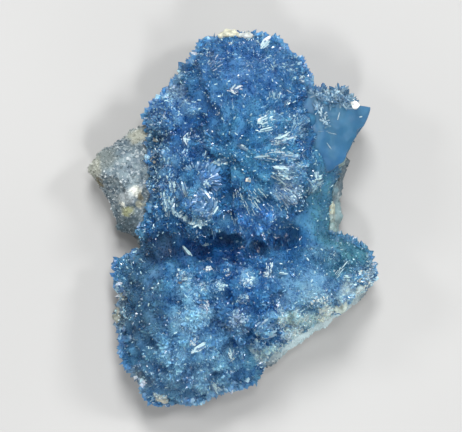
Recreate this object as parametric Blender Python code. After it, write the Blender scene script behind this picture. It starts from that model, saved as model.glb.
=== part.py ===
# A small specimen of vauxite, 30 mm long. Sky-blue bladed crystals have grown together into one
# thick crust of rounded sprays, on a flat piece of pale host rock. The specimen lies on the
# rock's broken back, with the crystals up.
#
# X runs across the specimen and Y along it, towards the crown of the crust. Z is up from the
# surface that it lies on. Every length here is in millimetres until the last step, where each
# finished mesh is scaled to metres.

import math
import random
from collections import namedtuple

import bmesh
import bpy
from mathutils import Matrix, Vector
from mathutils.bvhtree import BVHTree
from mathutils.geometry import delaunay_2d_cdt

METRES_PER_MM = 0.001
SEED = 13
GOLDEN_ANGLE = math.pi * (3 - math.sqrt(5))

# Driving heights above the surface that the specimen lies on
ROCK_TOP = 4.0
ROCK_LOBE_TOP = 6.2
ROCK_RIM = 2.0
CREVICE_FLOOR = 5.4
CRUST_RIM = 3.9
CRUST_UNDERSIDE = 1.6

# The crust keeps this distance from the rock it has grown on
CRUST_GAP = 0.3

# Facet size of each body, how far each facet's corners stray sideways and how far they keep
# from the edge, as shares of that size, and how far they stray up or down
CRUST_FACET = 1.45
ROCK_FACET = 1.5
FACET_STRAY = 0.28
FACET_MARGIN = 0.45
CRUST_ROUGHNESS = 0.16
ROCK_ROUGHNESS = 0.34

# How far in from its edge each body reaches its full height
CRUST_SHOULDER = 2.6
CRUST_UNDERCUT = 1.5
ROCK_SHOULDER = 1.6
ROCK_UNDERCUT = 1.3
CRUST_WALL = 1.0
ROCK_WALL = 0.8

# Corners closer together than the first of these become one, and faces that meet at less than
# the second are flat
WELD = 0.002
FLAT = math.radians(1)

# The edge of the crust from above, in stretches, clockwise from the crown. A bristled stretch
# ends in crystal tips, and a broken one is a plain fracture.
Stretch = namedtuple("Stretch", "name bristled points")
CRUST_EDGE = (
    Stretch("crown", True, (
        (-2.7, 13.1), (-1.9, 13.8), (-0.9, 14.2), (0.4, 14.4), (1.8, 14.2), (2.8, 14.1),
        (3.6, 13.7), (4.0, 12.8), (5.0, 12.4), (5.6, 11.7), (6.1, 10.8), (6.3, 10.1),
    )),
    Stretch("plate_top", True, (
        (7.2, 10.1), (8.1, 10.0), (8.9, 10.0), (9.6, 9.5),
    )),
    Stretch("plate_side", False, (
        (10.3, 8.9), (11.2, 8.7), (10.8, 7.8), (10.0, 6.6), (9.3, 5.3),
    )),
    Stretch("right_margin", False, (
        (8.8, 4.2), (8.4, 3.1), (8.2, 2.2), (8.0, 1.0), (8.0, -0.2), (8.1, -1.4), (8.4, -1.9),
    )),
    Stretch("right_teeth", True, (
        (9.3, -2.1), (10.2, -2.6), (10.3, -3.2), (10.9, -3.7), (11.2, -4.2), (11.0, -5.1),
        (10.6, -5.8),
    )),
    Stretch("lower_break", False, (
        (9.8, -6.5), (9.1, -7.1), (8.0, -8.0), (6.7, -8.7), (5.5, -9.3), (4.5, -10.0),
        (3.2, -11.1),
    )),
    Stretch("foot", True, (
        (2.4, -11.9), (2.0, -12.7), (1.1, -13.3), (-0.1, -13.6), (-1.4, -13.9), (-2.3, -14.3),
        (-3.6, -14.4), (-4.8, -14.7), (-5.9, -14.7), (-6.6, -14.4), (-7.0, -13.3),
    )),
    Stretch("lower_left", True, (
        (-7.7, -12.1), (-8.3, -11.3), (-8.3, -10.1), (-8.5, -9.1), (-8.9, -8.1), (-8.5, -6.9),
        (-8.7, -5.4), (-8.8, -4.4), (-8.9, -3.9), (-8.2, -3.6), (-7.5, -3.0),
    )),
    Stretch("waist", False, (
        (-7.1, -2.3), (-7.6, -1.4), (-7.8, -0.5), (-7.0, 0.4), (-6.7, 1.8), (-6.6, 3.8),
        (-6.6, 5.8), (-6.7, 7.3),
    )),
    Stretch("left_shoulder", True, (
        (-6.4, 8.2), (-6.2, 8.8), (-5.3, 9.6), (-4.6, 10.1), (-4.1, 10.8), (-3.6, 11.6),
        (-3.1, 12.5),
    )),
)

# The edge of the host rock from above, clockwise from the knob that shows behind the crown. It
# shows as the lobe on the left, lumps down the right side, and a ledge along the lower break.
ROCK_EDGE = (
    (-1.1, 14.7), (-0.1, 15.1), (0.9, 15.0), (1.7, 14.5), (3.4, 13.2), (5.0, 11.5),
    (5.9, 9.9), (7.2, 8.6), (8.4, 7.2), (8.9, 5.9), (9.2, 4.8), (9.6, 4.5), (9.3, 3.7),
    (8.9, 2.8), (8.6, 1.4), (8.9, 0.1), (8.8, -1.2), (8.6, -1.9), (9.5, -2.9), (10.4, -4.1),
    (11.1, -5.1), (10.9, -5.9), (10.4, -6.5), (9.4, -7.4), (8.2, -8.5), (6.9, -9.1),
    (5.7, -9.7), (4.4, -10.8), (3.3, -11.7), (2.4, -12.3), (0.6, -12.8), (-2.1, -13.2),
    (-4.9, -13.3), (-6.2, -12.3), (-7.0, -10.6), (-7.4, -8.6), (-7.7, -6.2), (-7.7, -4.6),
    (-7.0, -3.3), (-7.4, -2.2), (-8.1, -1.6), (-9.1, -0.9), (-9.1, -0.2), (-9.8, 0.4),
    (-9.6, 1.1), (-10.1, 1.9), (-11.0, 2.9), (-11.5, 3.9), (-11.1, 4.7), (-10.1, 5.6),
    (-9.5, 6.2), (-8.4, 6.7), (-7.5, 7.1), (-6.8, 7.5), (-5.0, 9.5), (-3.3, 11.9),
    (-1.8, 13.8),
)

# The middle and reach of the rock's high lobe
ROCK_LOBE = (-9.0, 3.2)
ROCK_LOBE_REACH = 3.6

# The rounded sprays that the crust is made of: centre, half widths and top, then the point over
# which its crystals start, how many there are, how far they stand out of the spray, and how
# many degrees their flat sides stray from the rays. The plate, margin and neck are almost
# smooth.
Spray = namedtuple("Spray", "name x y half_x half_y top root crystals stands_out stray")
SPRAYS = (
    Spray("crown", 0.5, 10.3, 5.0, 4.6, 11.0, (0.5, 9.6), 38, 0.60, 70),
    Spray("lobe", -4.3, 8.0, 2.5, 2.7, 9.4, (-4.0, 7.8), 13, 0.50, 60),
    Spray("shoulder", -4.4, 3.9, 3.1, 5.5, 9.6, (-3.8, 4.2), 27, 0.55, 70),
    Spray("fan", 2.2, 4.9, 4.6, 6.8, 13.2, (-0.2, 4.8), 60, 0.90, 12),
    Spray("rosette", -2.3, 1.7, 2.4, 3.3, 11.9, (-2.3, 2.2), 24, 0.75, 25),
    Spray("plate", 8.4, 7.4, 3.0, 3.2, 7.2, (7.8, 6.4), 5, 0.25, 30),
    Spray("margin", 7.2, 1.6, 2.5, 4.6, 7.6, (6.6, 1.6), 7, 0.30, 60),
    Spray("groove", -2.4, -2.6, 4.6, 1.6, 6.3, (-2.4, -2.6), 12, 0.45, 70),
    Spray("neck", 7.6, -2.7, 3.4, 2.6, 7.6, (7.0, -2.9), 8, 0.35, 60),
    Spray("lower_left", -6.4, -8.0, 3.2, 5.0, 7.6, (-5.6, -8.0), 21, 0.50, 60),
    Spray("lower_middle", -2.9, -9.0, 4.2, 5.4, 9.9, (-2.9, -9.0), 35, 0.55, 60),
    Spray("lower_crest", 1.1, -6.6, 4.2, 3.9, 11.3, (1.1, -6.8), 33, 0.70, 40),
    Spray("lower_right", 6.5, -5.3, 4.4, 3.4, 9.1, (6.0, -5.4), 23, 0.50, 60),
    Spray("foot", -3.2, -12.6, 4.0, 2.7, 7.6, (-3.2, -12.0), 16, 0.45, 60),
)

# The rays start this far under the floor of the crevice, and the lowest ones rise this share of
# the way up
ROOT_DEPTH = 1.0
LOWEST_RISE = 0.16
RAY_WANDER = 0.14

# One crystal: a flat blade with a slanting chisel tip. The tip takes up a share of what stands
# out, its ridge is a share of the width, and one end of it is higher by the skew.
BLADE_WIDTH = (1.3, 2.1)
BLADE_THICKNESS = (0.45, 0.80)
BLADE_ROOT = 1.1
BLADE_TIP_SHARE = 0.55
BLADE_RIDGE_SHARE = 0.35
BLADE_TIP_SKEW = 0.4
SPRAY_LENGTH_SPREAD = (0.75, 1.3)

# Crystals along a bristled edge, with how much they rise and the height of their roots
EDGE_BLADE_SPACING = 1.15
EDGE_SPACING_SPREAD = (0.8, 1.2)
EDGE_STANDS_OUT = 0.42
EDGE_LENGTH_SPREAD = (0.7, 1.4)
EDGE_STRAY = 80
EDGE_LIFT = (0.0, 0.5)
EDGE_ROOT_HEIGHT = (-0.2, 0.4)

BLUE = (0.10, 0.27, 0.52, 1.0)
BLUE_ROUGHNESS = 0.25
ROCK_GREY = (0.42, 0.46, 0.46, 1.0)
ROCK_GREY_ROUGHNESS = 0.8


def crust_outline():
    return [point for stretch in CRUST_EDGE for point in stretch.points]


def segments(outline):
    return zip(outline, outline[1:] + outline[:1])


def edge_distance(point, outline):
    """Shortest way from the point to the outline."""
    nearest = math.inf
    for start, end in segments([Vector(p) for p in outline]):
        along = end - start
        share = max(0.0, min(1.0, (point - start).dot(along) / along.length_squared))
        nearest = min(nearest, (point - start - along * share).length)
    return nearest


def is_inside(point, outline):
    crossings = 0
    for start, end in segments(list(outline)):
        if (start[1] > point.y) != (end[1] > point.y):
            share = (point.y - start[1]) / (end[1] - start[1])
            crossings += start[0] + share * (end[0] - start[0]) > point.x
    return crossings % 2 == 1


def rounded(distance, width):
    """A quarter-round: 0 at an edge, and 1 from width inwards."""
    share = min(distance / width, 1.0)
    return math.sqrt(1 - (1 - share) ** 2)


def scattered_points(outline, spacing, chance):
    """A jittered triangular grid of points that fills the outline, clear of its edge."""
    across = [p[0] for p in outline]
    along = [p[1] for p in outline]
    row_step = spacing * math.sqrt(3) / 2
    points = []
    for row in range(int((max(along) - min(along)) / row_step) + 1):
        y = min(along) + row * row_step
        offset = spacing / 2 if row % 2 else 0.0
        for column in range(int((max(across) - min(across)) / spacing) + 2):
            x = min(across) + column * spacing - offset
            stray = Vector((chance.uniform(-1, 1), chance.uniform(-1, 1))) * spacing * FACET_STRAY
            point = Vector((x, y)) + stray
            clear = edge_distance(point, outline) > spacing * FACET_MARGIN
            if clear and is_inside(point, outline):
                points.append(point)
    return points


def slab(outline, spacing, wall, rim, upper, lower, chance):
    """A closed body over the outline. Its upper and lower skins, given as height functions of
    a point and its distance from the edge, end on an upright wall about the rim height."""
    corners = [Vector(p) for p in outline]
    count = len(corners)
    border = [(i, (i + 1) % count) for i in range(count)]
    inner = scattered_points(outline, spacing, chance)
    flat, _, triangles, sources, _, _ = delaunay_2d_cdt(corners + inner, border, [], 1, 1e-6)
    mesh = bmesh.new()
    top, bottom = [], []
    for point, source in zip(flat, sources):
        if min(source) < count:
            heights = rim + wall / 2, rim - wall / 2
        else:
            distance = edge_distance(point, outline)
            heights = upper(point, distance), lower(point, distance)
        top.append(mesh.verts.new((point.x, point.y, heights[0])))
        bottom.append(mesh.verts.new((point.x, point.y, heights[1])))
    for a, b, c in triangles:
        mesh.faces.new((top[a], top[b], top[c]))
        mesh.faces.new((bottom[c], bottom[b], bottom[a]))
    place = {source: i for i, found in enumerate(sources) for source in found if source < count}
    for a, b in border:
        a, b = place[a], place[b]
        mesh.faces.new((top[a], bottom[a], bottom[b], top[b]))
    bmesh.ops.triangulate(mesh, faces=[face for face in mesh.faces if len(face.verts) > 3])
    bmesh.ops.recalc_face_normals(mesh, faces=mesh.faces)
    return mesh


def height_in(spray, point):
    """Height of one spray's dome above a point, or 0 outside its edge."""
    squared = ((point.x - spray.x) / spray.half_x) ** 2 + ((point.y - spray.y) / spray.half_y) ** 2
    if squared >= 1:
        return 0.0
    return CREVICE_FLOOR + (spray.top - CREVICE_FLOOR) * math.sqrt(1 - squared)


def spray_at(point):
    """The spray whose dome is highest above a point."""
    return max(SPRAYS, key=lambda spray: height_in(spray, point))


def crust_body(chance):
    """The lumps of the crust, without their crystals, reaching down around the rock."""
    rim_top = CRUST_RIM + CRUST_WALL / 2
    rim_foot = CRUST_RIM - CRUST_WALL / 2

    def upper(point, distance):
        relief = max(height_in(spray_at(point), point), CREVICE_FLOOR)
        stray = chance.uniform(-CRUST_ROUGHNESS, CRUST_ROUGHNESS)
        return rim_top + (relief - rim_top) * rounded(distance, CRUST_SHOULDER) + stray

    def lower(_, distance):
        return rim_foot - (rim_foot - CRUST_UNDERSIDE) * rounded(distance, CRUST_UNDERCUT)

    return slab(crust_outline(), CRUST_FACET, CRUST_WALL, CRUST_RIM, upper, lower, chance)


def rock_body(chance):
    """The host rock: a rough slab with a flat broken back, higher in the lobe on the left."""
    rim_top = ROCK_RIM + ROCK_WALL / 2
    rim_foot = ROCK_RIM - ROCK_WALL / 2

    def upper(point, distance):
        share = max(0.0, 1 - ((point - Vector(ROCK_LOBE)).length / ROCK_LOBE_REACH) ** 2)
        full = ROCK_TOP + (ROCK_LOBE_TOP - ROCK_TOP) * math.sqrt(share)
        stray = chance.uniform(-ROCK_ROUGHNESS, ROCK_ROUGHNESS)
        return rim_top + (full - rim_top) * rounded(distance, ROCK_SHOULDER) + stray

    def lower(_, distance):
        return rim_foot * (1 - min(distance / ROCK_UNDERCUT, 1.0))

    return slab(list(ROCK_EDGE), ROCK_FACET, ROCK_WALL, ROCK_RIM, upper, lower, chance)


def add_blade(mesh, foot, direction, stands_out, stray, chance):
    """Adds one crystal to the mesh, a closed blade rooted under the foot point. Its flat sides
    stand upright, give or take the stray angle."""
    half_width = chance.uniform(*BLADE_WIDTH) / 2
    half_depth = chance.uniform(*BLADE_THICKNESS) / 2
    length = BLADE_ROOT + stands_out
    tip = stands_out * BLADE_TIP_SHARE
    skew = chance.choice((-1, 1)) * BLADE_TIP_SKEW
    low = length - tip * (1 + skew)
    high = length - tip * (1 - skew)
    corners = [(-half_width, -half_depth, 0), (half_width, -half_depth, 0),
               (half_width, half_depth, 0), (-half_width, half_depth, 0),
               (-half_width, -half_depth, low), (half_width, -half_depth, high),
               (half_width, half_depth, high), (-half_width, half_depth, low),
               (half_width * (skew - BLADE_RIDGE_SHARE), 0, length),
               (half_width * (skew + BLADE_RIDGE_SHARE), 0, length)]
    turn = direction.to_track_quat("Z", "Y").to_matrix().to_4x4()
    edge_on = math.pi / 2 + math.radians(chance.uniform(-stray, stray))
    roll = Matrix.Rotation(edge_on, 4, "Z")
    place = Matrix.Translation(foot - direction * BLADE_ROOT) @ turn @ roll
    verts = [mesh.verts.new(place @ Vector(corner)) for corner in corners]
    for face in ((3, 2, 1, 0), (0, 1, 5, 4), (1, 2, 6, 5), (2, 3, 7, 6), (3, 0, 4, 7),
                 (4, 5, 9, 8), (6, 7, 8, 9), (5, 6, 9), (7, 4, 8)):
        mesh.faces.new([verts[i] for i in face])


def spray_blades(mesh, body, chance):
    """Crystals that radiate from the middle of each spray."""
    skin = BVHTree.FromBMesh(body)
    for spray in SPRAYS:
        centre = Vector((spray.x, spray.y, CREVICE_FLOOR - ROOT_DEPTH))
        root = Vector((*spray.root, CREVICE_FLOOR - ROOT_DEPTH))
        for i in range(spray.crystals):
            rise = 1 - (i + 0.5) / spray.crystals * (1 - LOWEST_RISE)
            spread = math.sqrt(1 - rise * rise)
            angle = i * GOLDEN_ANGLE
            around = Vector((math.cos(angle) * spray.half_x, math.sin(angle) * spray.half_y, 0))
            upward = Vector((0, 0, spray.top - centre.z))
            foot = skin.ray_cast(centre, (around * spread + upward * rise).normalized())[0]
            if foot is None or foot.z < CRUST_RIM or spray_at(foot) is not spray:
                continue
            wander = Vector([chance.uniform(-RAY_WANDER, RAY_WANDER) for _ in range(3)])
            direction = ((foot - root).normalized() + wander).normalized()
            stands_out = spray.stands_out * chance.uniform(*SPRAY_LENGTH_SPREAD)
            add_blade(mesh, foot, direction, stands_out, spray.stray, chance)


def edge_blades(mesh, chance):
    """Crystals that point outwards along the bristled stretches of the edge."""
    for stretch in CRUST_EDGE:
        if not stretch.bristled:
            continue
        carried = 0.0
        for start, end in zip(stretch.points, stretch.points[1:]):
            start, end = Vector(start), Vector(end)
            along = end - start
            outward = Vector((-along.y, along.x)).normalized()
            while carried < along.length:
                spot = start + along.normalized() * carried
                foot = Vector((spot.x, spot.y, CRUST_RIM + chance.uniform(*EDGE_ROOT_HEIGHT)))
                lean = Vector((outward.x, outward.y, chance.uniform(*EDGE_LIFT)))
                stands_out = EDGE_STANDS_OUT * chance.uniform(*EDGE_LENGTH_SPREAD)
                add_blade(mesh, foot, lean.normalized(), stands_out, EDGE_STRAY, chance)
                carried += EDGE_BLADE_SPACING * chance.uniform(*EDGE_SPACING_SPREAD)
            carried -= along.length


def swollen(mesh, by):
    """A copy of the mesh with every face moved out by the given distance."""
    copy = mesh.copy()
    copy.normal_update()
    moved = [vert.co + vert.normal * vert.calc_shell_factor() * by for vert in copy.verts]
    for vert, place in zip(copy.verts, moved):
        vert.co = place
    return copy


def as_object(mesh, name):
    data = bpy.data.meshes.new(name)
    mesh.to_mesh(data)
    mesh.free()
    made = bpy.data.objects.new(name, data)
    bpy.context.scene.collection.objects.link(made)
    return made


def combined(first, second, operation):
    """The result of a Boolean of two objects, as a bmesh. Both objects are removed."""
    modifier = first.modifiers.new(operation.title(), "BOOLEAN")
    modifier.operation = operation
    modifier.solver = "EXACT"
    modifier.object = second
    modifier.use_self = True
    graph = bpy.context.evaluated_depsgraph_get()
    mesh = bmesh.new()
    mesh.from_mesh(first.evaluated_get(graph).to_mesh())
    for used in (first, second):
        bpy.data.objects.remove(used)
    return mesh


def keep_largest(mesh):
    """Removes every loose scrap that a cut leaves beside the main body."""
    left = set(mesh.verts)
    bodies = []
    while left:
        body, edge = set(), [left.pop()]
        while edge:
            vert = edge.pop()
            body.add(vert)
            near = [link.other_vert(vert) for link in vert.link_edges]
            edge += [other for other in near if other in left]
            left.difference_update(near)
        bodies.append(body)
    largest = max(bodies, key=len)
    scraps = [vert for body in bodies if body is not largest for vert in body]
    bmesh.ops.delete(mesh, geom=scraps, context="VERTS")


def clean(mesh):
    """Closes up slivers, merges faces that lie in one plane, and leaves only triangles."""
    bmesh.ops.remove_doubles(mesh, verts=mesh.verts, dist=WELD)
    bmesh.ops.dissolve_degenerate(mesh, edges=mesh.edges, dist=WELD)
    bmesh.ops.dissolve_limit(mesh, angle_limit=FLAT, verts=mesh.verts, edges=mesh.edges)
    bmesh.ops.triangulate(mesh, faces=mesh.faces)


def material(name, colour, roughness):
    made = bpy.data.materials.new(name)
    made.use_nodes = True
    shader = made.node_tree.nodes["Principled BSDF"]
    shader.inputs["Base Color"].default_value = colour
    shader.inputs["Roughness"].default_value = roughness
    shader.inputs["Metallic"].default_value = 0.0
    return made


def crust(rock):
    """The whole crust: lumps and crystals as one solid, cut away where the rock lies."""
    chance = random.Random(SEED)
    body = crust_body(chance)
    blades = bmesh.new()
    spray_blades(blades, body, chance)
    edge_blades(blades, chance)
    grown = combined(as_object(body, "lumps"), as_object(blades, "blades"), "UNION")
    bed = as_object(swollen(rock, CRUST_GAP), "bed")
    cut = combined(as_object(grown, "grown"), bed, "DIFFERENCE")
    clean(cut)
    keep_largest(cut)
    return cut


def seat(objects):
    """Puts the middle of the specimen over the origin, and scales it to metres."""
    corners = [vert.co for made in objects for vert in made.data.vertices]
    low = Vector([min(corner[i] for corner in corners) for i in range(3)])
    high = Vector([max(corner[i] for corner in corners) for i in range(3)])
    shift = Matrix.Translation((-(low.x + high.x) / 2, -(low.y + high.y) / 2, -low.z))
    for made in objects:
        made.data.transform(Matrix.Scale(METRES_PER_MM, 4) @ shift)


def main():
    for old in list(bpy.data.objects):
        bpy.data.objects.remove(old)
    rock_mesh = rock_body(random.Random(SEED))
    crust_object = as_object(crust(rock_mesh), "vauxite_crust")
    clean(rock_mesh)
    rock_object = as_object(rock_mesh, "host_rock")
    crust_object.data.materials.append(material("vauxite", BLUE, BLUE_ROUGHNESS))
    rock_object.data.materials.append(material("host_rock", ROCK_GREY, ROCK_GREY_ROUGHNESS))
    seat((crust_object, rock_object))


main()
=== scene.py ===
# A small vauxite specimen: a crust of sky-blue crystals on pale rock, lying on a pale table.
# Lengths are in millimetres while a mesh is being made. Each mesh is scaled to metres at its end.
# X runs across the specimen, Y along it towards the crown of the crust, and Z is up.
import math
from collections import namedtuple

import bmesh
import bpy
import numpy as np
from mathutils import Matrix, Vector, noise
from mathutils.bvhtree import BVHTree
from mathutils.geometry import delaunay_2d_cdt
from mathutils.kdtree import KDTree


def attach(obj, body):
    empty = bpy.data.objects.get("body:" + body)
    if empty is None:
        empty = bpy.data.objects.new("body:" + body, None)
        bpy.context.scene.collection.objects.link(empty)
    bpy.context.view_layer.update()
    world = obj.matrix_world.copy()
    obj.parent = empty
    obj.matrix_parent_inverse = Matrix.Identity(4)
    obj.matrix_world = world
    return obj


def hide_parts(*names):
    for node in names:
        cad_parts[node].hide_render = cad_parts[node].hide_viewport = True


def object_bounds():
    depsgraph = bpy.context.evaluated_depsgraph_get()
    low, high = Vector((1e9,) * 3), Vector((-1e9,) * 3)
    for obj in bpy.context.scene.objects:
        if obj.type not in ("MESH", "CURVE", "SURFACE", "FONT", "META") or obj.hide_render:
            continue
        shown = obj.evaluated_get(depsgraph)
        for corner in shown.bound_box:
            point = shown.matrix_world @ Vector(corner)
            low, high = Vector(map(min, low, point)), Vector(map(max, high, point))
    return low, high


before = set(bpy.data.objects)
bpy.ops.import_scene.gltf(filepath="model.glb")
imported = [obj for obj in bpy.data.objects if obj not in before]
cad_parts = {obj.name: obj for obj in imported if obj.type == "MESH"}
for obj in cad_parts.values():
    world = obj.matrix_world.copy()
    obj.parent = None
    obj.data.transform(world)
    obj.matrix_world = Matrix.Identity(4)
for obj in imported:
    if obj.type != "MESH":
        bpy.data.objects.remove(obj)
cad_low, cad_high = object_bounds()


# The host rock
# A flat piece of pale, fine-grained phosphate rock that the crystals grew on. It was broken out
# by hand, so its back is rough and flat. Weathering has left it a cream rim and ochre stains.
MM = 0.001
TO_MM = Matrix.Scale(1 / MM, 4)
TO_METRES = Matrix.Scale(MM, 4)
SEED = 5
ROCK_CELL = 0.22
ROCK_SMOOTHING = 2
ROCK_LUMPS = (11.0, ((1.5, 0.30), (0.7, 0.22), (0.3, 0.14)))
ROCK_FOOT = 0.15
ROCK_FOOT_BLEND = 0.5
chance = np.random.default_rng(SEED)
uniform = chance.uniform


def read(items, field, wide=3, kind=np.float32):
    """One field of a mesh's points, edges or triangles, as rows."""
    values = np.empty(len(items) * wide, kind)
    items.foreach_get(field, values)
    return values.reshape(-1, wide)


def points_of(mesh):
    return read(mesh.vertices, "co").astype(float)


def normals_of(mesh):
    return read(mesh.vertex_normals, "vector").astype(float)


def triangles_of(mesh):
    mesh.calc_loop_triangles()
    return read(mesh.loop_triangles, "vertices", kind=np.int32)


def move_points(mesh, points):
    mesh.vertices.foreach_set("co", points.astype(np.float32).ravel())
    mesh.update()


def unit(vectors):
    return vectors / np.maximum(np.linalg.norm(vectors, axis=1, keepdims=True), 1e-9)


def placed(name, data):
    """A new object in the scene."""
    made = bpy.data.objects.new(name, data)
    bpy.context.scene.collection.objects.link(made)
    return made


def fine_skin(node, cell):
    """A fine, even skin over one solid of the frame, in millimetres."""
    rough = placed(node + "_rough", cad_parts[node].data.copy())
    rough.data.transform(TO_MM)
    remesh = rough.modifiers.new("skin", "REMESH")
    remesh.mode = "VOXEL"
    remesh.voxel_size = cell
    skin = bpy.data.meshes.new_from_object(rough.evaluated_get(bpy.context.evaluated_depsgraph_get()))
    bpy.data.objects.remove(rough)
    skin.materials.clear()
    return skin


def smooth_out(mesh, rounds):
    """Moves each point to the middle of its neighbours, over and over."""
    first, second = read(mesh.edges, "vertices", 2, np.int32).T
    points = points_of(mesh)
    links = np.bincount(np.concatenate((first, second)), minlength=len(points))[:, None]
    for _ in range(rounds):
        points = np.stack([np.bincount(first, points[second, axis], len(points))
                           + np.bincount(second, points[first, axis], len(points))
                           for axis in range(3)], axis=1) / links
    move_points(mesh, points)


def lumps(points, offset, sizes):
    """Height of a rough surface at each point, from rounded lumps of several sizes."""
    return sum(rise * np.array([noise.noise(Vector(p)) for p in points / size + offset])
               for size, rise in sizes)


def finished(mesh, name, finish, smooth=False):
    """The mesh as a piece of the specimen, in metres, with its material."""
    mesh.transform(TO_METRES)
    mesh.materials.append(finish.material)
    mesh.polygons.foreach_set("use_smooth", [smooth] * len(mesh.polygons))
    mesh.name = name
    mesh.update()
    piece = placed(name, mesh)
    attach(piece, "root")
    return piece


class Finish:
    """One material, wired up step by step. Places in it are in millimetres."""

    def __init__(self, name, **settings):
        self.material = bpy.data.materials.new(name)
        self.material.use_nodes = True
        self.tree = self.material.node_tree
        self.shader = self.tree.nodes["Principled BSDF"]
        for socket, value in settings.items():
            self.shader.inputs[socket.replace("_", " ")].default_value = value
        self.place = self.vector("SCALE", self.node("TexCoord", "Object"), 1 / MM)

    def put(self, socket, value):
        if isinstance(value, bpy.types.NodeSocket):
            self.tree.links.new(value, socket)
        else:
            socket.default_value = value

    def node(self, kind, output, inputs=(), **settings):
        """One output of a new node with these settings and inputs."""
        node = self.tree.nodes.new("ShaderNode" + kind)
        for setting, value in settings.items():
            setattr(node, setting, value)
        for socket, value in dict(inputs).items():
            self.put(node.inputs[socket], value)
        return node.outputs[output]

    def vector(self, operation, first, second=(0, 0, 0)):
        """A sum with vectors. To scale one, the second value is a number."""
        inputs = {0: first, "Scale" if operation == "SCALE" else 1: second}
        output = "Value" if operation == "LENGTH" else "Vector"
        return self.node("VectorMath", output, inputs, operation=operation)

    def math(self, operation, first, second):
        return self.node("Math", 0, {0: first, 1: second}, operation=operation)

    def grain(self, size, detail, place=None, output="Fac"):
        """Cloudy noise whose clouds are about this many millimetres across."""
        place = self.place if place is None else place
        return self.node("TexNoise", output, {"Vector": place, "Scale": 1 / size, "Detail": detail})

    def span(self, value, low, high, to_low=0.0, to_high=1.0):
        """The value, with low to high stretched softly to a new range."""
        inputs = enumerate((value, low, high, to_low, to_high))
        return self.node("MapRange", "Result", inputs, interpolation_type="SMOOTHSTEP")

    def mix(self, share, first, second):
        return self.node("Mix", 2, {0: share, 6: first, 7: second}, data_type="RGBA")

    def own(self, name, output="Fac"):
        """A value that the mesh holds at its points."""
        return self.node("Attribute", output, attribute_name=name)

    def each(self):
        """A random value for each separate crystal or grain."""
        return self.node("NewGeometry", "Random Per Island")

    def colour(self, value):
        self.put(self.shader.inputs["Base Color"], value)

    def roughness(self, size, low, high):
        self.put(self.shader.inputs["Roughness"], self.span(self.grain(size, 3), 0.3, 0.7, low, high))

    def bump(self, size, detail, strength, depth):
        height = {"Height": self.grain(size, detail), "Strength": strength, "Distance": depth * MM}
        self.put(self.shader.inputs["Normal"], self.node("Bump", "Normal", height))


ROCK_GREY = (0.19, 0.255, 0.285, 1)
ROCK_WHITE = (0.54, 0.60, 0.62, 1)
ROCK_SHADOW = (0.10, 0.15, 0.19, 1)
ROCK_CREAM = (0.46, 0.46, 0.36, 1)
ROCK_PALE = (0.84, 0.86, 0.78, 1)
ROCK_OCHRE = (0.20, 0.15, 0.05, 1)
ROCK_YELLOW = (0.34, 0.36, 0.20, 1)
ROCK_DARK = (0.06, 0.10, 0.125, 1)
ROCK_DUN = (0.22, 0.26, 0.25, 1)
ROCK_MIST = (0.22, 0.34, 0.36, 1)
ROCK_ICE = (0.60, 0.76, 0.80, 1)
STAIN_CORE = 0.35
STAIN_RAGGED = (1.0, 1.2)
Stain = namedtuple("Stain", "x y half_x half_y colour share")
STAINS = [Stain(*row) for row in (
    (-8.4, -0.9, 2.2, 1.3, ROCK_DARK, 0.9),
    (-10.3, 4.7, 1.3, 1.3, ROCK_DUN, 0.7),
    (-8.6, 1.6, 1, 0.9, ROCK_WHITE, 0.6),
    (-7.8, 2, 0.7, 0.6, ROCK_PALE, 0.9),
    (-8.9, 0.9, 0.35, 0.3, ROCK_PALE, 0.9),
    (-7.7, 6.6, 1.4, 0.9, ROCK_CREAM, 0.7),
    (-11.2, 3.9, 0.9, 1.5, ROCK_CREAM, 0.6),
    (-10.8, 2.8, 0.5, 0.5, ROCK_OCHRE, 0.7),
    (-7.5, 1.7, 0.4, 0.6, ROCK_OCHRE, 0.6),
    (-7.5, 0.9, 0.6, 0.5, ROCK_CREAM, 0.9),
    (-8.6, 0.4, 0.7, 0.4, ROCK_YELLOW, 0.9),
    (9, 3.6, 1.2, 3, ROCK_DARK, 0.7),
    (8.6, 0, 1.2, 2.4, ROCK_MIST, 0.8),
    (6.2, -8.6, 6.5, 4.4, ROCK_ICE, 0.95),
    (0.1, 15, 1.8, 0.9, ROCK_WHITE, 0.9),
)]


def rock_colours(finish, white_share):
    """Mottled grey-white rock. Each stain on it is an oval with a ragged edge."""
    colour = finish.mix(finish.span(finish.grain(0.8, 4), 0.35, 0.65), ROCK_SHADOW, ROCK_GREY)
    colour = finish.mix(white_share, colour, ROCK_WHITE)
    size, far = STAIN_RAGGED
    shift = finish.vector("SCALE", finish.grain(size, 2, output="Color"), far)
    place = finish.vector("SUBTRACT", finish.vector("ADD", finish.place, shift), (far / 2,) * 3)
    for stain in STAINS:
        offset = finish.vector("SUBTRACT", place, (stain.x, stain.y, 0))
        scaled = finish.vector("MULTIPLY", offset, (1 / stain.half_x, 1 / stain.half_y, 0))
        inside = finish.span(finish.vector("LENGTH", scaled), 1.0, STAIN_CORE)
        colour = finish.mix(finish.math("MULTIPLY", inside, stain.share), colour, stain.colour)
    return colour


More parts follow.
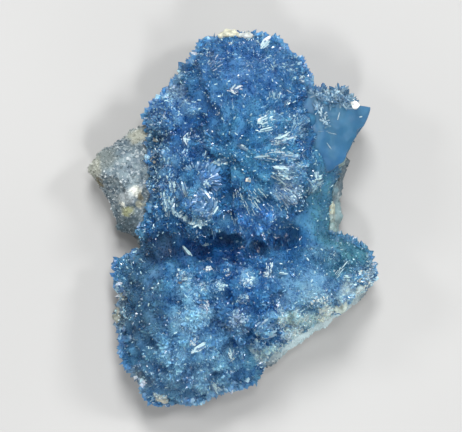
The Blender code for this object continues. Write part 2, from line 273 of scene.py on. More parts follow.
stone = Finish("host_rock_stone", IOR=1.55)
stone.colour(rock_colours(stone, stone.span(stone.grain(0.35, 3), 0.5, 0.75, 0.0, 0.8)))
stone.roughness(0.4, 0.4, 0.8)
stone.bump(0.14, 5, 0.6, 0.12)
rock_skin = fine_skin("host_rock", ROCK_CELL)
smooth_out(rock_skin, ROCK_SMOOTHING)
rock_points = points_of(rock_skin)
rock_rise = lumps(rock_points, *ROCK_LUMPS)
rock_rise *= np.clip((rock_points[:, 2] - ROCK_FOOT) / ROCK_FOOT_BLEND, 0, 1)
rock_points += normals_of(rock_skin) * rock_rise[:, None]
rock_points[:, 2] = np.maximum(rock_points[:, 2], 0)
move_points(rock_skin, rock_points)
host_rock = finished(rock_skin.copy(), "host_rock_stone", stone, smooth=True)
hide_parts("host_rock")


# The grains of the rock
# Wherever the rock lies open it is sugary: small angular grains of quartz and pale phosphate
# stand out of it, some clear and glinting, some white, some stained cream.
GRAIN_COUNT = 20000
GRAIN_SIZE = (0.06, 0.20)
GRAIN_SIDES = (0.6, 1.1)
GRAIN_CROOKEDNESS = 0.22
OPEN_WITHIN = 0.9
SMOOTH_ROCK_FROM = 7.3
SMOOTH_ROCK_GRAINS = 0.2
BOX_CORNERS = np.array([(x, y, z) for x in (-1, 1) for y in (-1, 1) for z in (-1, 1)]) / 2
BOX_TRIANGLES = np.array(((0, 1, 3), (0, 3, 2), (4, 6, 7), (4, 7, 5), (0, 4, 5), (0, 5, 1),
                          (2, 3, 7), (2, 7, 6), (0, 2, 6), (0, 6, 4), (1, 5, 7), (1, 7, 3)))


def hold(mesh, name, values):
    """Keeps one value at each point of the mesh, for its material to read."""
    mesh.attributes.new(name, "FLOAT", "POINT").data.foreach_set("value", np.asarray(values, np.float32))


def seeded_spots(mesh, number, crowding):
    """Random spots on a skin, in proportion to its area and to the crowding at each face."""
    a, b, c = (points_of(mesh)[corner] for corner in triangles_of(mesh).T)
    outward = np.cross(b - a, c - a)
    area = np.linalg.norm(outward, axis=1)
    outward = unit(outward)
    ends = np.cumsum(area * crowding((a + b + c) / 3, outward))
    steps = (np.arange(number) + uniform(0, 1, number)) / number * ends[-1]
    chosen = np.minimum(np.searchsorted(ends, steps), len(ends) - 1)
    u, v = np.sqrt(uniform(0, 1, number))[:, None], uniform(0, 1, number)[:, None]
    spots = a[chosen] * (1 - u) + b[chosen] * (u * (1 - v)) + c[chosen] * (u * v)
    return spots, outward[chosen]


def copies(points, faces, name):
    """One mesh of many like solids, from the points of each and the faces that all share."""
    starts = np.arange(len(points))[:, None, None] * points.shape[1]
    mesh = bpy.data.meshes.new(name)
    mesh.from_pydata(points.reshape(-1, 3), [], (np.array(faces) + starts).reshape(-1, 3))
    return mesh


def grains(spots, sizes):
    """One mesh of small angular grains, each a crooked block turned its own way."""
    number = len(spots)
    turn = chance.normal(0, 1, (number, 3, 3))
    first = unit(turn[:, 0])
    second = unit(np.cross(first, turn[:, 1]))
    corners = BOX_CORNERS + uniform(-1, 1, (number, 8, 3)) * GRAIN_CROOKEDNESS
    corners *= (sizes[:, None] * uniform(*GRAIN_SIDES, (number, 3)))[:, None]
    turned = corners @ np.stack((first, second, np.cross(first, second)), axis=1)
    return copies(spots[:, None] + turned, BOX_TRIANGLES, "grains")


def sugary(places, outward):
    """Fewer grains on the smooth rock that shows along the right side."""
    return np.where(places[:, 0] > SMOOTH_ROCK_FROM, SMOOTH_ROCK_GRAINS, 1)


solid_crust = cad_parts["vauxite_crust"].data.copy()
solid_crust.transform(TO_MM)
crust_tree = BVHTree.FromPolygons(points_of(solid_crust).tolist(), triangles_of(solid_crust).tolist())
spots, outward = seeded_spots(rock_skin, GRAIN_COUNT, sugary)
is_open = np.array([crust_tree.ray_cast(Vector(spot), Vector(way), OPEN_WITHIN)[0] is None
                    for spot, way in zip(spots, outward)])
is_open &= spots[:, 2] > GRAIN_SIZE[1]
sizes = GRAIN_SIZE[0] + (GRAIN_SIZE[1] - GRAIN_SIZE[0]) * uniform(0, 1, GRAIN_COUNT) ** 2
sugar = Finish("host_rock_grains", IOR=1.55, Transmission_Weight=0.15)
sugar_colour = rock_colours(sugar, sugar.span(sugar.each(), 0.45, 1.0))
sugar.colour(sugar.vector("SCALE", sugar_colour, sugar.span(sugar.each(), 0.0, 0.5, 0.8, 1.12)))
sugar.roughness(0.2, 0.12, 0.45)
sugar.bump(0.06, 3, 0.3, 0.03)
finished(grains(spots[is_open], sizes[is_open]), "host_rock_grains", sugar)


# The crust that the crystals stand on
# Vauxite grew outwards from many points at once, until the sprays met as one thick crust. Its
# skin is a crowd of small tufts, each a rounded bump over the point where its crystals meet.
CRUST_CELL = 0.25
CRUST_SMOOTHING = 4
CRUST_LUMPS = (3.0, ((0.7, 0.14), (0.28, 0.07)))
CRUST_LUMPS_LEAST = 0.2
UNDERSIDE = -0.35
UNDERSIDE_BLEND = 0.3
UNDERSIDE_GROWTH = 0.28
CRYSTALS_DOWN_TO = -0.75
CRYSTALS_BLEND = 0.25
CREVICE_FLOOR = 5.4
TUFT_SEEDS = 9000
TUFT_BODY = 0.75
TUFT_STRAY = 0.16
TUFT_SPACINGS = (0.75, 1.25)
TUFT_DEPTHS = (0.7, 1.3)
TUFT_TONES = (0.88, 1.12)
TUFT_COARSENESS = (0.7, 1.35)
TUFT_RISE = 1.8
TUFT_SINK = 1.9
# Painted shade in the gaps between tufts, and painted light on their tops.
GAP_PAINTED_SHADE = 1.25
TOP_PAINTED_LIGHT = 1.14
# Each spray is an oval dome of tufts that point away from its root. The values after the root say
# how far they lean that way, their size, depth and relief, how crowded and coarse, and how light.
Spray = namedtuple("Spray", "name x y half_x half_y top root lean tuft depth sunk crowding coarse tone")
SPRAYS = [Spray(*row) for row in (
    ("crown", 0.35, 10.3, 5, 4.6, 11, (0.3, 9.6, 4.4), 0.3, 1.3, 1.3, 0.2, 1, 0.85, 0.86),
    ("lobe", -4.45, 8, 2.5, 2.7, 9.4, (-4.1, 7.8, 4.4), 0.2, 1, 1, 0.22, 1, 0.95, 0.93),
    ("shoulder", -4.55, 3.9, 3.1, 5.5, 9.6, (-3.9, 4.2, 4.4), 0.3, 1.2, 1.2, 0.26, 1, 1.05, 0.92),
    ("fan", 2.05, 4.9, 4.6, 6.8, 13.2, (-0.9, 4.9, 9.6), 0.6, 1.4, 2.4, 0.24, 1, 1, 0.95),
    ("rosette", -2.45, 1.7, 2.4, 3.3, 11.9, (-2.6, 2.6, 7.4), 0.5, 1.1, 1.6, 0.22, 1, 0.9, 1.13),
    ("plate", 8.25, 7.4, 3, 3.2, 7.2, (7.7, 6.4, 4.4), 0.5, 1.6, 2, 0.2, 0, 0.7, 0.92),
    ("margin", 7.05, 1.6, 2.5, 4.6, 7.6, (6.4, 1.6, 4.4), 0.5, 1.6, 2, 0.12, 0.5, 0.6, 1.12),
    ("groove", -2.55, -2.6, 4.6, 1.6, 6.3, (-2.5, -2.6, 2.4), 0.2, 1.2, 1, 0.22, 0.8, 0.75, 1.08),
    ("neck", 7.45, -2.7, 3.4, 2.6, 7.6, (6.9, -2.9, 4.4), 0.5, 1.7, 2, 0.12, 0.7, 0.6, 1.38),
    ("lower_left", -6.55, -8, 3.2, 5, 7.6, (-5.7, -8, 3.4), 0.3, 1.3, 1.1, 0.26, 0.8, 0.7, 1.12),
    ("lower_middle", -3.05, -9, 4.2, 5.4, 9.9, (-3, -9, 4.4), 0.3, 1.5, 1.2, 0.29, 1, 1.1, 1.32),
    ("lower_crest", 0.95, -6.6, 4.2, 3.9, 11.3, (1, -6.8, 4.4), 0.4, 1.6, 1.4, 0.34, 1, 1.25, 0.97),
    ("lower_right", 6.35, -5.3, 4.4, 3.4, 9.1, (5.9, -5.4, 4.4), 0.4, 0.9, 1.2, 0.14, 1, 0.85, 1.1),
    ("foot", -3.35, -12.6, 4, 2.7, 7.6, (-3.3, -12, 3.4), 0.4, 1.3, 1.2, 0.24, 0.8, 0.8, 1.03),
)]


def spray_at(points):
    """Which spray each point belongs to: the highest dome over it, or else the nearest."""
    scores = []
    for spray in SPRAYS:
        x, y = (points[:, 0] - spray.x) / spray.half_x, (points[:, 1] - spray.y) / spray.half_y
        squared = x * x + y * y
        dome = CREVICE_FLOOR + (spray.top - CREVICE_FLOOR) * np.sqrt(np.clip(1 - squared, 0, 1))
        scores.append(np.where(squared < 1, dome, -squared))
    return np.argmax(scores, axis=0)


def of_spray(field, spray):
    """One value of the spray that each point belongs to."""
    return np.array([getattr(each, field) for each in SPRAYS])[spray]


# Each patch of the crust: how far it bulges or sinks, its tint and the strength of that, its share
# of white crystals, some frosted and some painted glints, and how warm their white is.
# Deep blue is the stone's own deeper colour in its clouds, and painted shade where a patch of it fills a
# hollow.
DEEP_BLUE = (0.022, 0.130, 0.34)
SKY_BLUE = (0.064, 0.220, 0.42)
SEA_BLUE = (0.066, 0.265, 0.45)
# Painted light for the overhanging lower edge of the fan.
PAINTED_LIGHT_BLUE = (0.085, 0.310, 0.66)
PLATE_BLUE = (0.036, 0.142, 0.25)
# Painted shade for the left side of the crust.
LEFT_SHADE_BLUE = (0.040, 0.110, 0.21)
PLATE_FROST = (0.060, 0.150, 0.24)
PLATE_DUSK = (0.030, 0.115, 0.215)
PALE_BLUE = (0.24, 0.46, 0.64)
VIOLET_BLUE = (0.088, 0.240, 0.52)
# Painted shade: navy and dusk blue darken the crevice and the hollows.
SHADE_NAVY = (0.005, 0.062, 0.22)
SHADE_DUSK_BLUE = (0.016, 0.046, 0.10)
STEEL_BLUE = (0.112, 0.265, 0.44)
MINT = (0.52, 0.73, 0.76)
ICE_GREY = (0.42, 0.55, 0.62)
ICE_CREAM = (0.68, 0.80, 0.75)
ASH_GREY = (0.13, 0.18, 0.21)
Patch = namedtuple("Patch", "x y half_x half_y rise colour share frost warmth", defaults=(0, 0))
PATCHES = [Patch(*row) for row in (
    (0.6, 12.2, 4.6, 3, 0, VIOLET_BLUE, 0.3, 0.06, 0.1),
    (2.2, 4.6, 5, 6, 0, SEA_BLUE, 0.6, 0.06, 0.1),
    (-4.9, 7.9, 2.6, 2.6, 0, VIOLET_BLUE, 0.4, 0.14, 0.1),
    # painted shade along the left edge of the shoulder
    (-6.3, 4.8, 1, 4.6, 0, LEFT_SHADE_BLUE, 0.7, 0.2, 0.4),
    (-5.4, 3.6, 1.2, 3.2, 0, PALE_BLUE, 0.25, 0.22, 0.3),
    # painted light: a lighter blue on the overhanging lower edge of the fan
    (1.2, -0.3, 3.8, 2, 0, PAINTED_LIGHT_BLUE, 0.75, 0.08, 0.1),
    (-3, -9.8, 5.5, 5, 0, STEEL_BLUE, 0.6, 0.06, 0.2),
    (8.6, 7.4, 3.6, 3.8, 0, PLATE_BLUE, 1),
    (7.4, 1, 2.8, 5, 0, PLATE_BLUE, 0.85, 0.04, 0.1),
    (8.4, -2.8, 4.4, 2.4, 0, PLATE_BLUE, 0.9),
    # painted shade over the left side of the lower mass
    (-7.4, -6.6, 2.8, 6.4, 0, LEFT_SHADE_BLUE, 0.8, 0.03, 0.3),
    (-3.6, -13.2, 5.6, 2.6, 0, STEEL_BLUE, 0.65, 0.06, 0.2),
    (7.2, -6.6, 6, 3.4, 0, PALE_BLUE, 0.35, 0.1, 0.3),
    (1.3, 12.1, 0.9, 1.2, 0.15, PALE_BLUE, 0.25, 0.2, 0.4),
    (2.9, 12.1, 0.7, 1, 0.2, PALE_BLUE, 0.3, 0.35, 0.1),
    (4.4, 11.9, 0.8, 0.7, 0.15, PALE_BLUE, 0.25, 0.2, 0.1),
    # painted shade: deep blue in a hollow of the crown
    (2.9, 13.2, 0.7, 0.5, -0.25, DEEP_BLUE, 0.7),
    (1.9, 14, 0.7, 0.5, 0.1, ICE_GREY, 0.25, 0.1, 0.4),
    (-3.4, 13, 0.7, 1.1, 0, ASH_GREY, 0.3, 0.05, 0.4),
    (-4.6, 11, 0.8, 1.5, 0, ASH_GREY, 0.3, 0.05, 0.4),
    (-4.5, 9.6, 1, 1, 0.15, ICE_GREY, 0.3, 0.15, 0.4),
    (-3.6, 8.8, 0.8, 0.8, 0.25, PALE_BLUE, 0.25, 0.15, 0.1),
    (-5.2, 9, 0.7, 0.7, 0.2, PALE_BLUE, 0.3, 0.4, 0.3),
    (-5.6, 7.9, 0.6, 0.7, 0.15, PALE_BLUE, 0.2, 0.35, 0.1),
    (-4.4, 7.3, 0.4, 0.4, 0.1, PALE_BLUE, 0.4, 0.6, 0.1),
    # painted shade: deep blue in hollows of the lobe, the shoulder and the fan
    (-3.1, 7.8, 1.2, 0.7, -0.15, DEEP_BLUE, 0.8),
    (-4.6, 6.2, 1.1, 0.7, -0.1, DEEP_BLUE, 0.7),
    (0.9, 6.8, 0.8, 0.8, -0.15, DEEP_BLUE, 0.5),
    (-4, 5, 0.6, 0.9, 0, PALE_BLUE, 0.15, 0.35, 0.1),
    (-1.9, 3.4, 1.3, 1.2, 0.55, VIOLET_BLUE, 0.8, 0.06, 0.2),
    # painted shade: deep blue between the lobes of the rosette
    (-1.9, 2.1, 1, 0.35, -0.4, DEEP_BLUE, 0.9),
    (-2.9, 0.9, 1.5, 1.2, 0.55, VIOLET_BLUE, 0.6, 0.12, 0.2),
    (-5.2, 1.1, 0.5, 1.1, 0.25, PALE_BLUE, 0.3, 0.55, 0.1),
    (-2.8, -0.3, 1.1, 0.4, 0.1, PALE_BLUE, 0.4, 0.5, 0.1),
    # painted shade: deep blue between the rosette and the fan
    (-0.4, 1.6, 0.9, 2.4, -0.3, DEEP_BLUE, 0.8),
    (4.4, 1.9, 1.4, 1.1, 0.1, ICE_GREY, 0.35, 0.3, 0.9),
    (2.9, 7.7, 1.1, 0.7, 0.05, PALE_BLUE, 0.25, 0.15, 0.2),
    (4.2, 6.2, 1.5, 0.5, 0.05, PALE_BLUE, 0.35, 0.45, 0.4),
    (4.3, 5, 1.8, 0.7, 0.05, PALE_BLUE, 0.35, 0.4, 0.5),
    (4.4, 3.6, 1.2, 1, 0.1, ICE_GREY, 0.35, 0.3, 0.5),
    (5.3, 7.4, 0.9, 1.6, 0.15, PALE_BLUE, 0.25, 0.2, 0.2),
    (5.2, 4.1, 0.6, 0.5, 0.1, PALE_BLUE, 0.3, 0.4, 0.1),
    (3.3, 0.1, 0.8, 0.6, 0.2, PALE_BLUE, 0.3, 0.1, 0.1),
    # painted shade: deep blue in the gaps right of the fan
    (5.9, 5.6, 0.45, 1.4, -0.2, DEEP_BLUE, 0.9),
    (5.5, 9.7, 0.7, 0.4, -0.3, DEEP_BLUE, 0.8),
    # painted shade: navy and dusk blue along the crevice, and deep blue at its right end
    (-2.2, -2.7, 6.2, 1.7, 0, SHADE_NAVY, 0.95, 0.01, 0),
    (-5.8, -2.4, 2.4, 1.9, 0, SHADE_DUSK_BLUE, 0.85, 0.02, 0.1),
    (4.4, -2, 3.4, 1.5, 0, DEEP_BLUE, 0.9),
    (7, -2.9, 2.4, 1, 0, STEEL_BLUE, 0.4, 0.1, 0.1),
    (-3.4, -5.9, 1.5, 1.2, 0.35, PALE_BLUE, 0.25, 0.25, 0.2),
    (-3.7, -4.7, 0.7, 0.5, 0.1, PALE_BLUE, 0.2, 0.6, 0.4),
    (-1.2, -5.6, 1.1, 0.7, 0.2, PALE_BLUE, 0.3, 0.4, 0.1),
    (1.1, -4.9, 0.8, 1.1, 0.3, PALE_BLUE, 0.45, 0.7, 0.2),
    (0.9, -6.4, 0.5, 0.4, 0.1, PALE_BLUE, 0.2, 0.6, 0.1),
    (-3.3, -8.2, 1.8, 1.4, 0.4, PALE_BLUE, 0.4, 0.35, 0.1),
    (-2.4, -7.6, 0.9, 0.5, 0.1, PALE_BLUE, 0.2, 0.6, 0.3),
    (0.4, -8.2, 1.1, 1.2, 0.45, ICE_GREY, 0.55, 0.5, 0.6),
    # painted shade: navy and deep blue in the hollows of the lower mass
    (-4.8, -6.3, 1.1, 0.7, -0.2, SHADE_NAVY, 0.7),
    (-0.7, -6.2, 0.8, 0.5, -0.25, SHADE_NAVY, 0.7),
    (-2.9, -5.1, 0.5, 0.5, -0.2, SHADE_NAVY, 0.6),
    (-0.1, -3.9, 0.8, 0.5, -0.2, SHADE_NAVY, 0.7),
    (-1.3, -8.5, 0.7, 0.5, -0.2, SHADE_NAVY, 0.35),
    (2.7, -7.4, 0.7, 0.4, -0.25, SHADE_NAVY, 0.6),
    (-5.5, -7.3, 0.9, 0.7, -0.15, SHADE_NAVY, 0.6),
    (-0.4, -10.3, 1, 0.8, -0.2, SHADE_NAVY, 0.2),
    (1.7, -7, 0.7, 0.6, -0.2, SHADE_NAVY, 0.45),
    (-3.1, -11.2, 0.7, 0.5, -0.2, DEEP_BLUE, 0.5),
    (-4.8, -11, 1.6, 1.3, 0.3, PALE_BLUE, 0.2, 0.1, 0.1),
    (-2.2, -13.4, 1.4, 1, 0.2, PALE_BLUE, 0.15, 0.1, 0.1),
    (2.5, -8.7, 1, 1, 0.3, PALE_BLUE, 0.5, 0.3, 0.1),
    (1.8, -10.1, 0.6, 1, 0.3, PALE_BLUE, 0.35, 0.4, 0.1),
    (4.4, -8.1, 1.5, 1.1, 0.1, MINT, 0.8, 0.5, 0.4),
    (4.8, -9.4, 1.3, 1.2, 0.05, ICE_CREAM, 0.8, 0.6, 0.8),
    (3, -11, 1.7, 1.5, 0, MINT, 0.8, 0.3, 0.5),
    (6, -8.3, 1.4, 0.9, 0.05, MINT, 0.85, 0.5, 0.4),
    (6.7, -6.5, 1.8, 0.8, 0.2, MINT, 0.15, 0.45, 0.3),
    (7.4, -7.8, 1.1, 1.1, 0.1, ICE_CREAM, 0.95, 0.7, 0.9),
    (6.3, -9.1, 1.1, 0.45, 0, SEA_BLUE, 0.8),
    (8.6, -7.2, 0.6, 0.9, 0.3, ICE_GREY, 0.7, 0.1, 0.6),
    (9.9, -6, 1.5, 1.1, 0.05, ICE_GREY, 0.65, 0.3, 0.4),
    (10.9, -4.5, 0.8, 1.3, 0, ICE_GREY, 0.45, 0.3, 0.4),
    # painted shade: deep blue in a hollow by the broken edge
    (8.2, -5.4, 0.9, 0.6, -0.1, DEEP_BLUE, 0.35),
    (-9.1, -7.4, 0.9, 2.6, 0, ASH_GREY, 0.42, 0.4, 0.6),
    (8, 9.6, 2.5, 1.1, 0, PLATE_FROST, 1, 0.2, 0.2),
    (10.4, 8.2, 1.4, 1.4, 0, PLATE_DUSK, 0.8),
    (6.5, 2.65, 0.6, 1, 0.35, PALE_BLUE, 0.45, 0.4, 0.1),
    (9.6, -3.2, 2.2, 2, 0, PLATE_BLUE, 0.9, 0.08, 0.1),
    (-7.6, -13.2, 1, 1.6, 0, ASH_GREY, 0.6, 0.1, 0.4),
    (-5.9, -14.6, 0.9, 0.5, 0, ICE_CREAM, 0.6, 0.5, 0.5),
)]
PATCH_CORE = 0.35
PATCH_RAGGED = (1.5, 0.9)
PATCH_VALLEY = 0.25
PATCH_VALLEY_HALF = 0.15


def fall_off(patch, points):
    """1 in the core of a patch and softly 0 outside it, and how far out each point lies."""
    away = np.hypot((points[:, 0] - patch.x) / patch.half_x, (points[:, 1] - patch.y) / patch.half_y)
    share = np.clip((1 - away) / (1 - PATCH_CORE), 0, 1)
    return share * share * (3 - 2 * share), away


def open_sky(outward):
    """1 on a face that looks up or sideways, falling to 0 on the underside."""
    return np.clip((outward[:, 2] - CRYSTALS_DOWN_TO) / CRYSTALS_BLEND, 0, 1)


def spaced_out(spots, spacing):
    """Which spots are left when each keeps its spacing from those before it."""
    kept = []
    for i, spot in enumerate(spots):
        if not kept or np.linalg.norm(spots[kept] - spot, axis=1).min() > spacing[i]:
            kept.append(i)
    return kept


crust_skin = fine_skin("vauxite_crust", CRUST_CELL)
smooth_out(crust_skin, CRUST_SMOOTHING)
spots, outward = seeded_spots(crust_skin, TUFT_SEEDS, lambda places, outward: open_sky(outward))
order = chance.permutation(TUFT_SEEDS)
tuft_size = of_spray("tuft", spray_at(spots[order])) * uniform(*TUFT_SPACINGS, TUFT_SEEDS)
kept = spaced_out(spots[order], tuft_size)
tuft_spots, tuft_outward, tuft_size = spots[order][kept], outward[order][kept], tuft_size[kept]
tuft_spray = spray_at(tuft_spots)
tuft_rays = unit(tuft_spots - of_spray("root", tuft_spray))
tuft_lean = of_spray("lean", tuft_spray)[:, None]
tuft_axis = unit(tuft_rays * tuft_lean + tuft_outward * (1 - tuft_lean)
                 + chance.normal(0, TUFT_STRAY, tuft_rays.shape))
tuft_depth = of_spray("depth", tuft_spray) * uniform(*TUFT_DEPTHS, len(kept))
tuft_roots = tuft_spots - tuft_axis * tuft_depth[:, None]
tuft_tone = of_spray("tone", tuft_spray) * uniform(*TUFT_TONES, len(kept))
tuft_coarse = of_spray("coarse", tuft_spray) * uniform(*TUFT_COARSENESS, len(kept))
tufts = KDTree(len(kept))
for i, spot in enumerate(tuft_spots):
    tufts.insert(spot, i)
tufts.balance()


def tuft_at(points):
    """The nearest tuft to each point, and how near its top: 1 there, and 0 in the gap round it."""
    found = [tufts.find(point) for point in points]
    tuft, away = np.array([hit[1] for hit in found]), np.array([hit[2] for hit in found])
    return tuft, 1 - np.minimum(away / (tuft_size[tuft] * TUFT_BODY), 1) ** 2


def tone_with_painted_shading(tuft, top):
    """Each tuft's tone, with painted shade in the gaps, the more so where they are deep, and painted light on
    top.
    """
    gap = 1 - GAP_PAINTED_SHADE * of_spray("sunk", tuft_spray[tuft])
    return tuft_tone[tuft] * (gap + (TOP_PAINTED_LIGHT - gap) * top)


crust_points, crust_normals = points_of(crust_skin), normals_of(crust_skin)
crust_tuft, crust_top = tuft_at(crust_points)
sunk = of_spray("sunk", spray_at(crust_points))
under = np.clip((UNDERSIDE + UNDERSIDE_BLEND - crust_normals[:, 2]) / UNDERSIDE_BLEND, 0, 1)
crust_shift = sunk * (TUFT_RISE * crust_top - TUFT_SINK)
crust_shift += lumps(crust_points, *CRUST_LUMPS) * (CRUST_LUMPS_LEAST + sunk)
for patch in PATCHES:
    inside, away = fall_off(patch, crust_points)
    valley = np.exp(-((away - 1) / PATCH_VALLEY_HALF) ** 2) * PATCH_VALLEY * max(patch.rise, 0)
    crust_shift += patch.rise * inside - valley
crust_shift = crust_shift * (1 - under) + UNDERSIDE_GROWTH * under
move_points(crust_skin, crust_points + crust_normals * crust_shift[:, None])
smooth_out(crust_skin, 1)
noise.seed_set(SEED)


def noise_ways(points, size):
    """A smoothly changing way at each point, for lumps or ragged borders of this size."""
    return np.array([noise.noise_vector(Vector(p)) for p in points / size])


def tints(points):
    """The tint of the patches at each point, and as a fourth value how strong it is."""
    size, far = PATCH_RAGGED
    places = points + noise_ways(points, size) * far
    tint = np.zeros((len(points), 4))
    for patch in PATCHES:
        share = (fall_off(patch, places)[0] * patch.share)[:, None]
        tint = tint * (1 - share) + np.array((*patch.colour, 1)) * share
    tint[:, :3] /= np.maximum(tint[:, 3:], 1e-3)
    return tint


def hold_tint(mesh, tint):
    held = mesh.attributes.new("tint", "FLOAT_COLOR", "POINT")
    held.data.foreach_set("color", tint.astype(np.float32).ravel())


TONE_POWERS = (1.25, 0.95, 0.5)


def vauxite_finish(name, size, **settings):
    """Blue vauxite: clouds of deeper and lighter blue, with the tint of each patch of the crust.
    Every tuft has its own tone, plus painted shade and light from its relief; what is darker is also a purer
    blue."""
    finish = Finish(name, IOR=1.555, Subsurface_Radius=(0.6, 0.8, 1.0),
                    Subsurface_Scale=size * MM, **settings)
    finish.shader.subsurface_method = "BURLEY"
    cloud = finish.span(finish.grain(1.8, 3), 0.35, 0.65, 0.35, 1.0)
    colour = finish.mix(cloud, (*DEEP_BLUE, 1), (*SKY_BLUE, 1))
    colour = finish.mix(finish.own("tint", "Alpha"), colour, finish.own("tint", "Color"))
    powers = [finish.math("POWER", finish.own("tone"), power) for power in TONE_POWERS]
    return finish, finish.vector("MULTIPLY", colour, finish.node("CombineXYZ", 0, enumerate(powers)))


# The skin's tone holds painted shade in the gaps between tufts and painted light on their tops.
hold(crust_skin, "tone", tone_with_painted_shading(crust_tuft, crust_top))
hold_tint(crust_skin, tints(crust_points))
skin_finish, skin_colour = vauxite_finish("vauxite_skin", 0.9, Subsurface_Weight=0.8, Specular_IOR_Level=0.15)
skin_finish.colour(skin_colour)
skin_finish.roughness(0.3, 0.4, 0.65)
skin_finish.bump(0.2, 4, 0.35, 0.06)
crust = finished(crust_skin.copy(), "vauxite_crust_skin", skin_finish, smooth=True)
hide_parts("vauxite_crust")


# The small crystals
# Splinters and thin blades of translucent blue vauxite, crowded side by side all over the crust.
# Those of a tuft radiate from one point. A splinter is pointed, and a blade ends in a slanting
# chisel tip.
BLADE_WAIST = 0.8
BLADE_CORNER = 0.7
BLADE_RIDGE = 0.35
BLADE_SKEW = 0.45
BLADE_TIP = (0.4, 1.2)
BLADE_TIP_REACH = 0.75
CRYSTAL_WIDTH = (0.06, 0.20)
CRYSTAL_THICKNESS = (0.04, 0.09)
CRYSTAL_STANDS_OUT = (0.05, 0.28)
CRYSTAL_ROOT = 0.30
ANY_SPIN = (-90, 90)
CRYSTAL_STRAY = 0.22
CRYSTAL_TONE = (0.65, 1.40)
FEW_LARGE = 1.7
SPARSEST = 0.15
SPLINTER_SHOULDER = 0.45
SPLINTER_REACH = 0.7
# A share of the crystals, mostly small ones, is painted white: frosting, and painted glints.
GLINT_AND_FROST_SHARE = 0.05
GLINT_AND_FROST_WARMTH = 0.08
GLINT_AND_FROST_WIDTH = 0.12
GLINT_AND_FROST_STRENGTH = (0.5, 1.0)
LEAST_GLINT_AND_FROST = 0.25
WARMEST = 0.6
BOX_MARGIN = 0.25
SPLINTERS = 24000
SMALL_BLADES = 8000
SMALL_BLADE_SIZE = 1.15
NORTH_OF = -2.7


def section(sides):
    """Corners of a blade's cross-section, for a half width and half thickness of 1."""
    c = BLADE_CORNER
    corners = {4: ((1, 1), (-1, 1), (-1, -1), (1, -1)),
               6: ((1, 0), (c, 1), (-c, 1), (-1, 0), (-c, -1), (c, -1))}
    return np.array(corners[sides], float)


def tip_faces(sides):
    """Triangles of the chisel tip. The last two corners are the ends of its ridge."""
    s, right, left = sides, 2 * sides, 2 * sides + 1
    if sides == 4:
        return [(s, s + 1, left), (s, left, right), (s + 2, s + 3, right),
                (s + 2, right, left), (s + 1, s + 2, left), (s + 3, s, right)]
    return [(s + 1, s + 2, left), (s + 1, left, right), (s + 4, s + 5, right), (s + 4, right, left),
            (s, s + 1, right), (s + 5, s, right), (s + 2, s + 3, left), (s + 3, s + 4, left)]


def across_rays(rays, spins, widths, thicknesses):
    """Half the width and half the thickness of crystals on these rays, turned by degrees."""
    spins = np.radians(spins)[:, None]
    side = unit(np.cross((0.0, 0.0, 1.0), rays) + (1e-6, 0, 0))
    wide = np.cross(rays, side) * np.cos(spins) + side * np.sin(spins)
    return wide * widths[:, None] / 2, np.cross(rays, wide) * thicknesses[:, None] / 2


def blades(feet, rays, spins, widths, thicknesses, lengths, root, sides=4):
    """One mesh of many closed blades, in millimetres. A blade starts a root's length under its
    foot and follows its ray. Its flat sides stand upright, turned by the spin in degrees."""
    rays = unit(rays)
    wide, thick = across_rays(rays, spins, widths, thicknesses)
    skew = BLADE_SKEW * uniform(-1, 1, len(feet))
    tip_length = np.minimum(BLADE_TIP[0] * lengths, widths * BLADE_TIP[1])
    start = feet - rays * root
    full = lengths + root
    corners = [start + (wide * across + thick * deep) * BLADE_WAIST for across, deep in section(sides)]
    for across, deep in section(sides):
        reach = full - tip_length * (1 + skew * across)
        corners.append(start + rays * reach[:, None] + wide * across + thick * deep)
    for across in (BLADE_RIDGE, -BLADE_RIDGE):
        corners.append(start + rays * full[:, None] + wide * (across + skew[:, None]))
    faces = [(i, (i + 1) % sides, sides + (i + 1) % sides) for i in range(sides)]
    faces += [(i, sides + (i + 1) % sides, sides + i) for i in range(sides)]
    faces += [(0, i + 1, i) for i in range(1, sides - 1)]
    mesh = copies(np.stack(corners, axis=1), faces + tip_faces(sides), "blades")
    hold(mesh, "reach", np.tile([0] * sides + [BLADE_TIP_REACH] * sides + [1, 1], len(feet)))
    return mesh


def splinters(feet, rays, spins, widths, thicknesses, lengths, root):
    """One mesh of many pointed splinters, placed as blades are."""
    rays = unit(rays)
    wide, thick = across_rays(rays, spins, widths, thicknesses)
    middle = feet + rays * lengths[:, None] * SPLINTER_SHOULDER
    corners = (feet - rays * root, middle + wide, middle + thick, middle - wide, middle - thick,
               feet + rays * lengths[:, None])
    faces = [(0, 1 + (i + 1) % 4, 1 + i) for i in range(4)] + [(5, 1 + i, 1 + (i + 1) % 4) for i in range(4)]
    mesh = copies(np.stack(corners, axis=1), faces, "splinters")
    hold(mesh, "reach", np.tile([0] + [SPLINTER_REACH] * 4 + [1], len(feet)))
    return mesh


def for_each(mesh, values):
    """One value for each crystal or grain, repeated for all its points."""
    return np.repeat(values, len(mesh.vertices) // len(values), axis=0)


def in_box(points):
    """Whether each point lies in the box of the solids, or only just outside it."""
    low, high = np.array(cad_low) / MM - BOX_MARGIN, np.array(cad_high) / MM + BOX_MARGIN
    return np.all((points > low) & (points < high), axis=1)


def glint_and_frost_at(spots):
    """The share of crystals at each spot painted white as frosting and glints, and how warm their white is.
    """
    share, warmth = np.full(len(spots), GLINT_AND_FROST_SHARE), np.full(len(spots), GLINT_AND_FROST_WARMTH)
    for patch in PATCHES:
        inside = fall_off(patch, spots)[0]
        share = share * (1 - inside) + patch.frost * inside
        warmth = warmth * (1 - inside) + patch.warmth * inside
    return share, warmth


def dressed(mesh, spots, tone, pale, warm):
    """Gives each crystal of the mesh its tint, tone, white of frosting and painted glint, and warmth."""
    for name, values in (("tone", tone), ("pale", pale), ("warm", warm)):
        hold(mesh, name, for_each(mesh, values))
    hold_tint(mesh, for_each(mesh, tints(spots)))
    return mesh


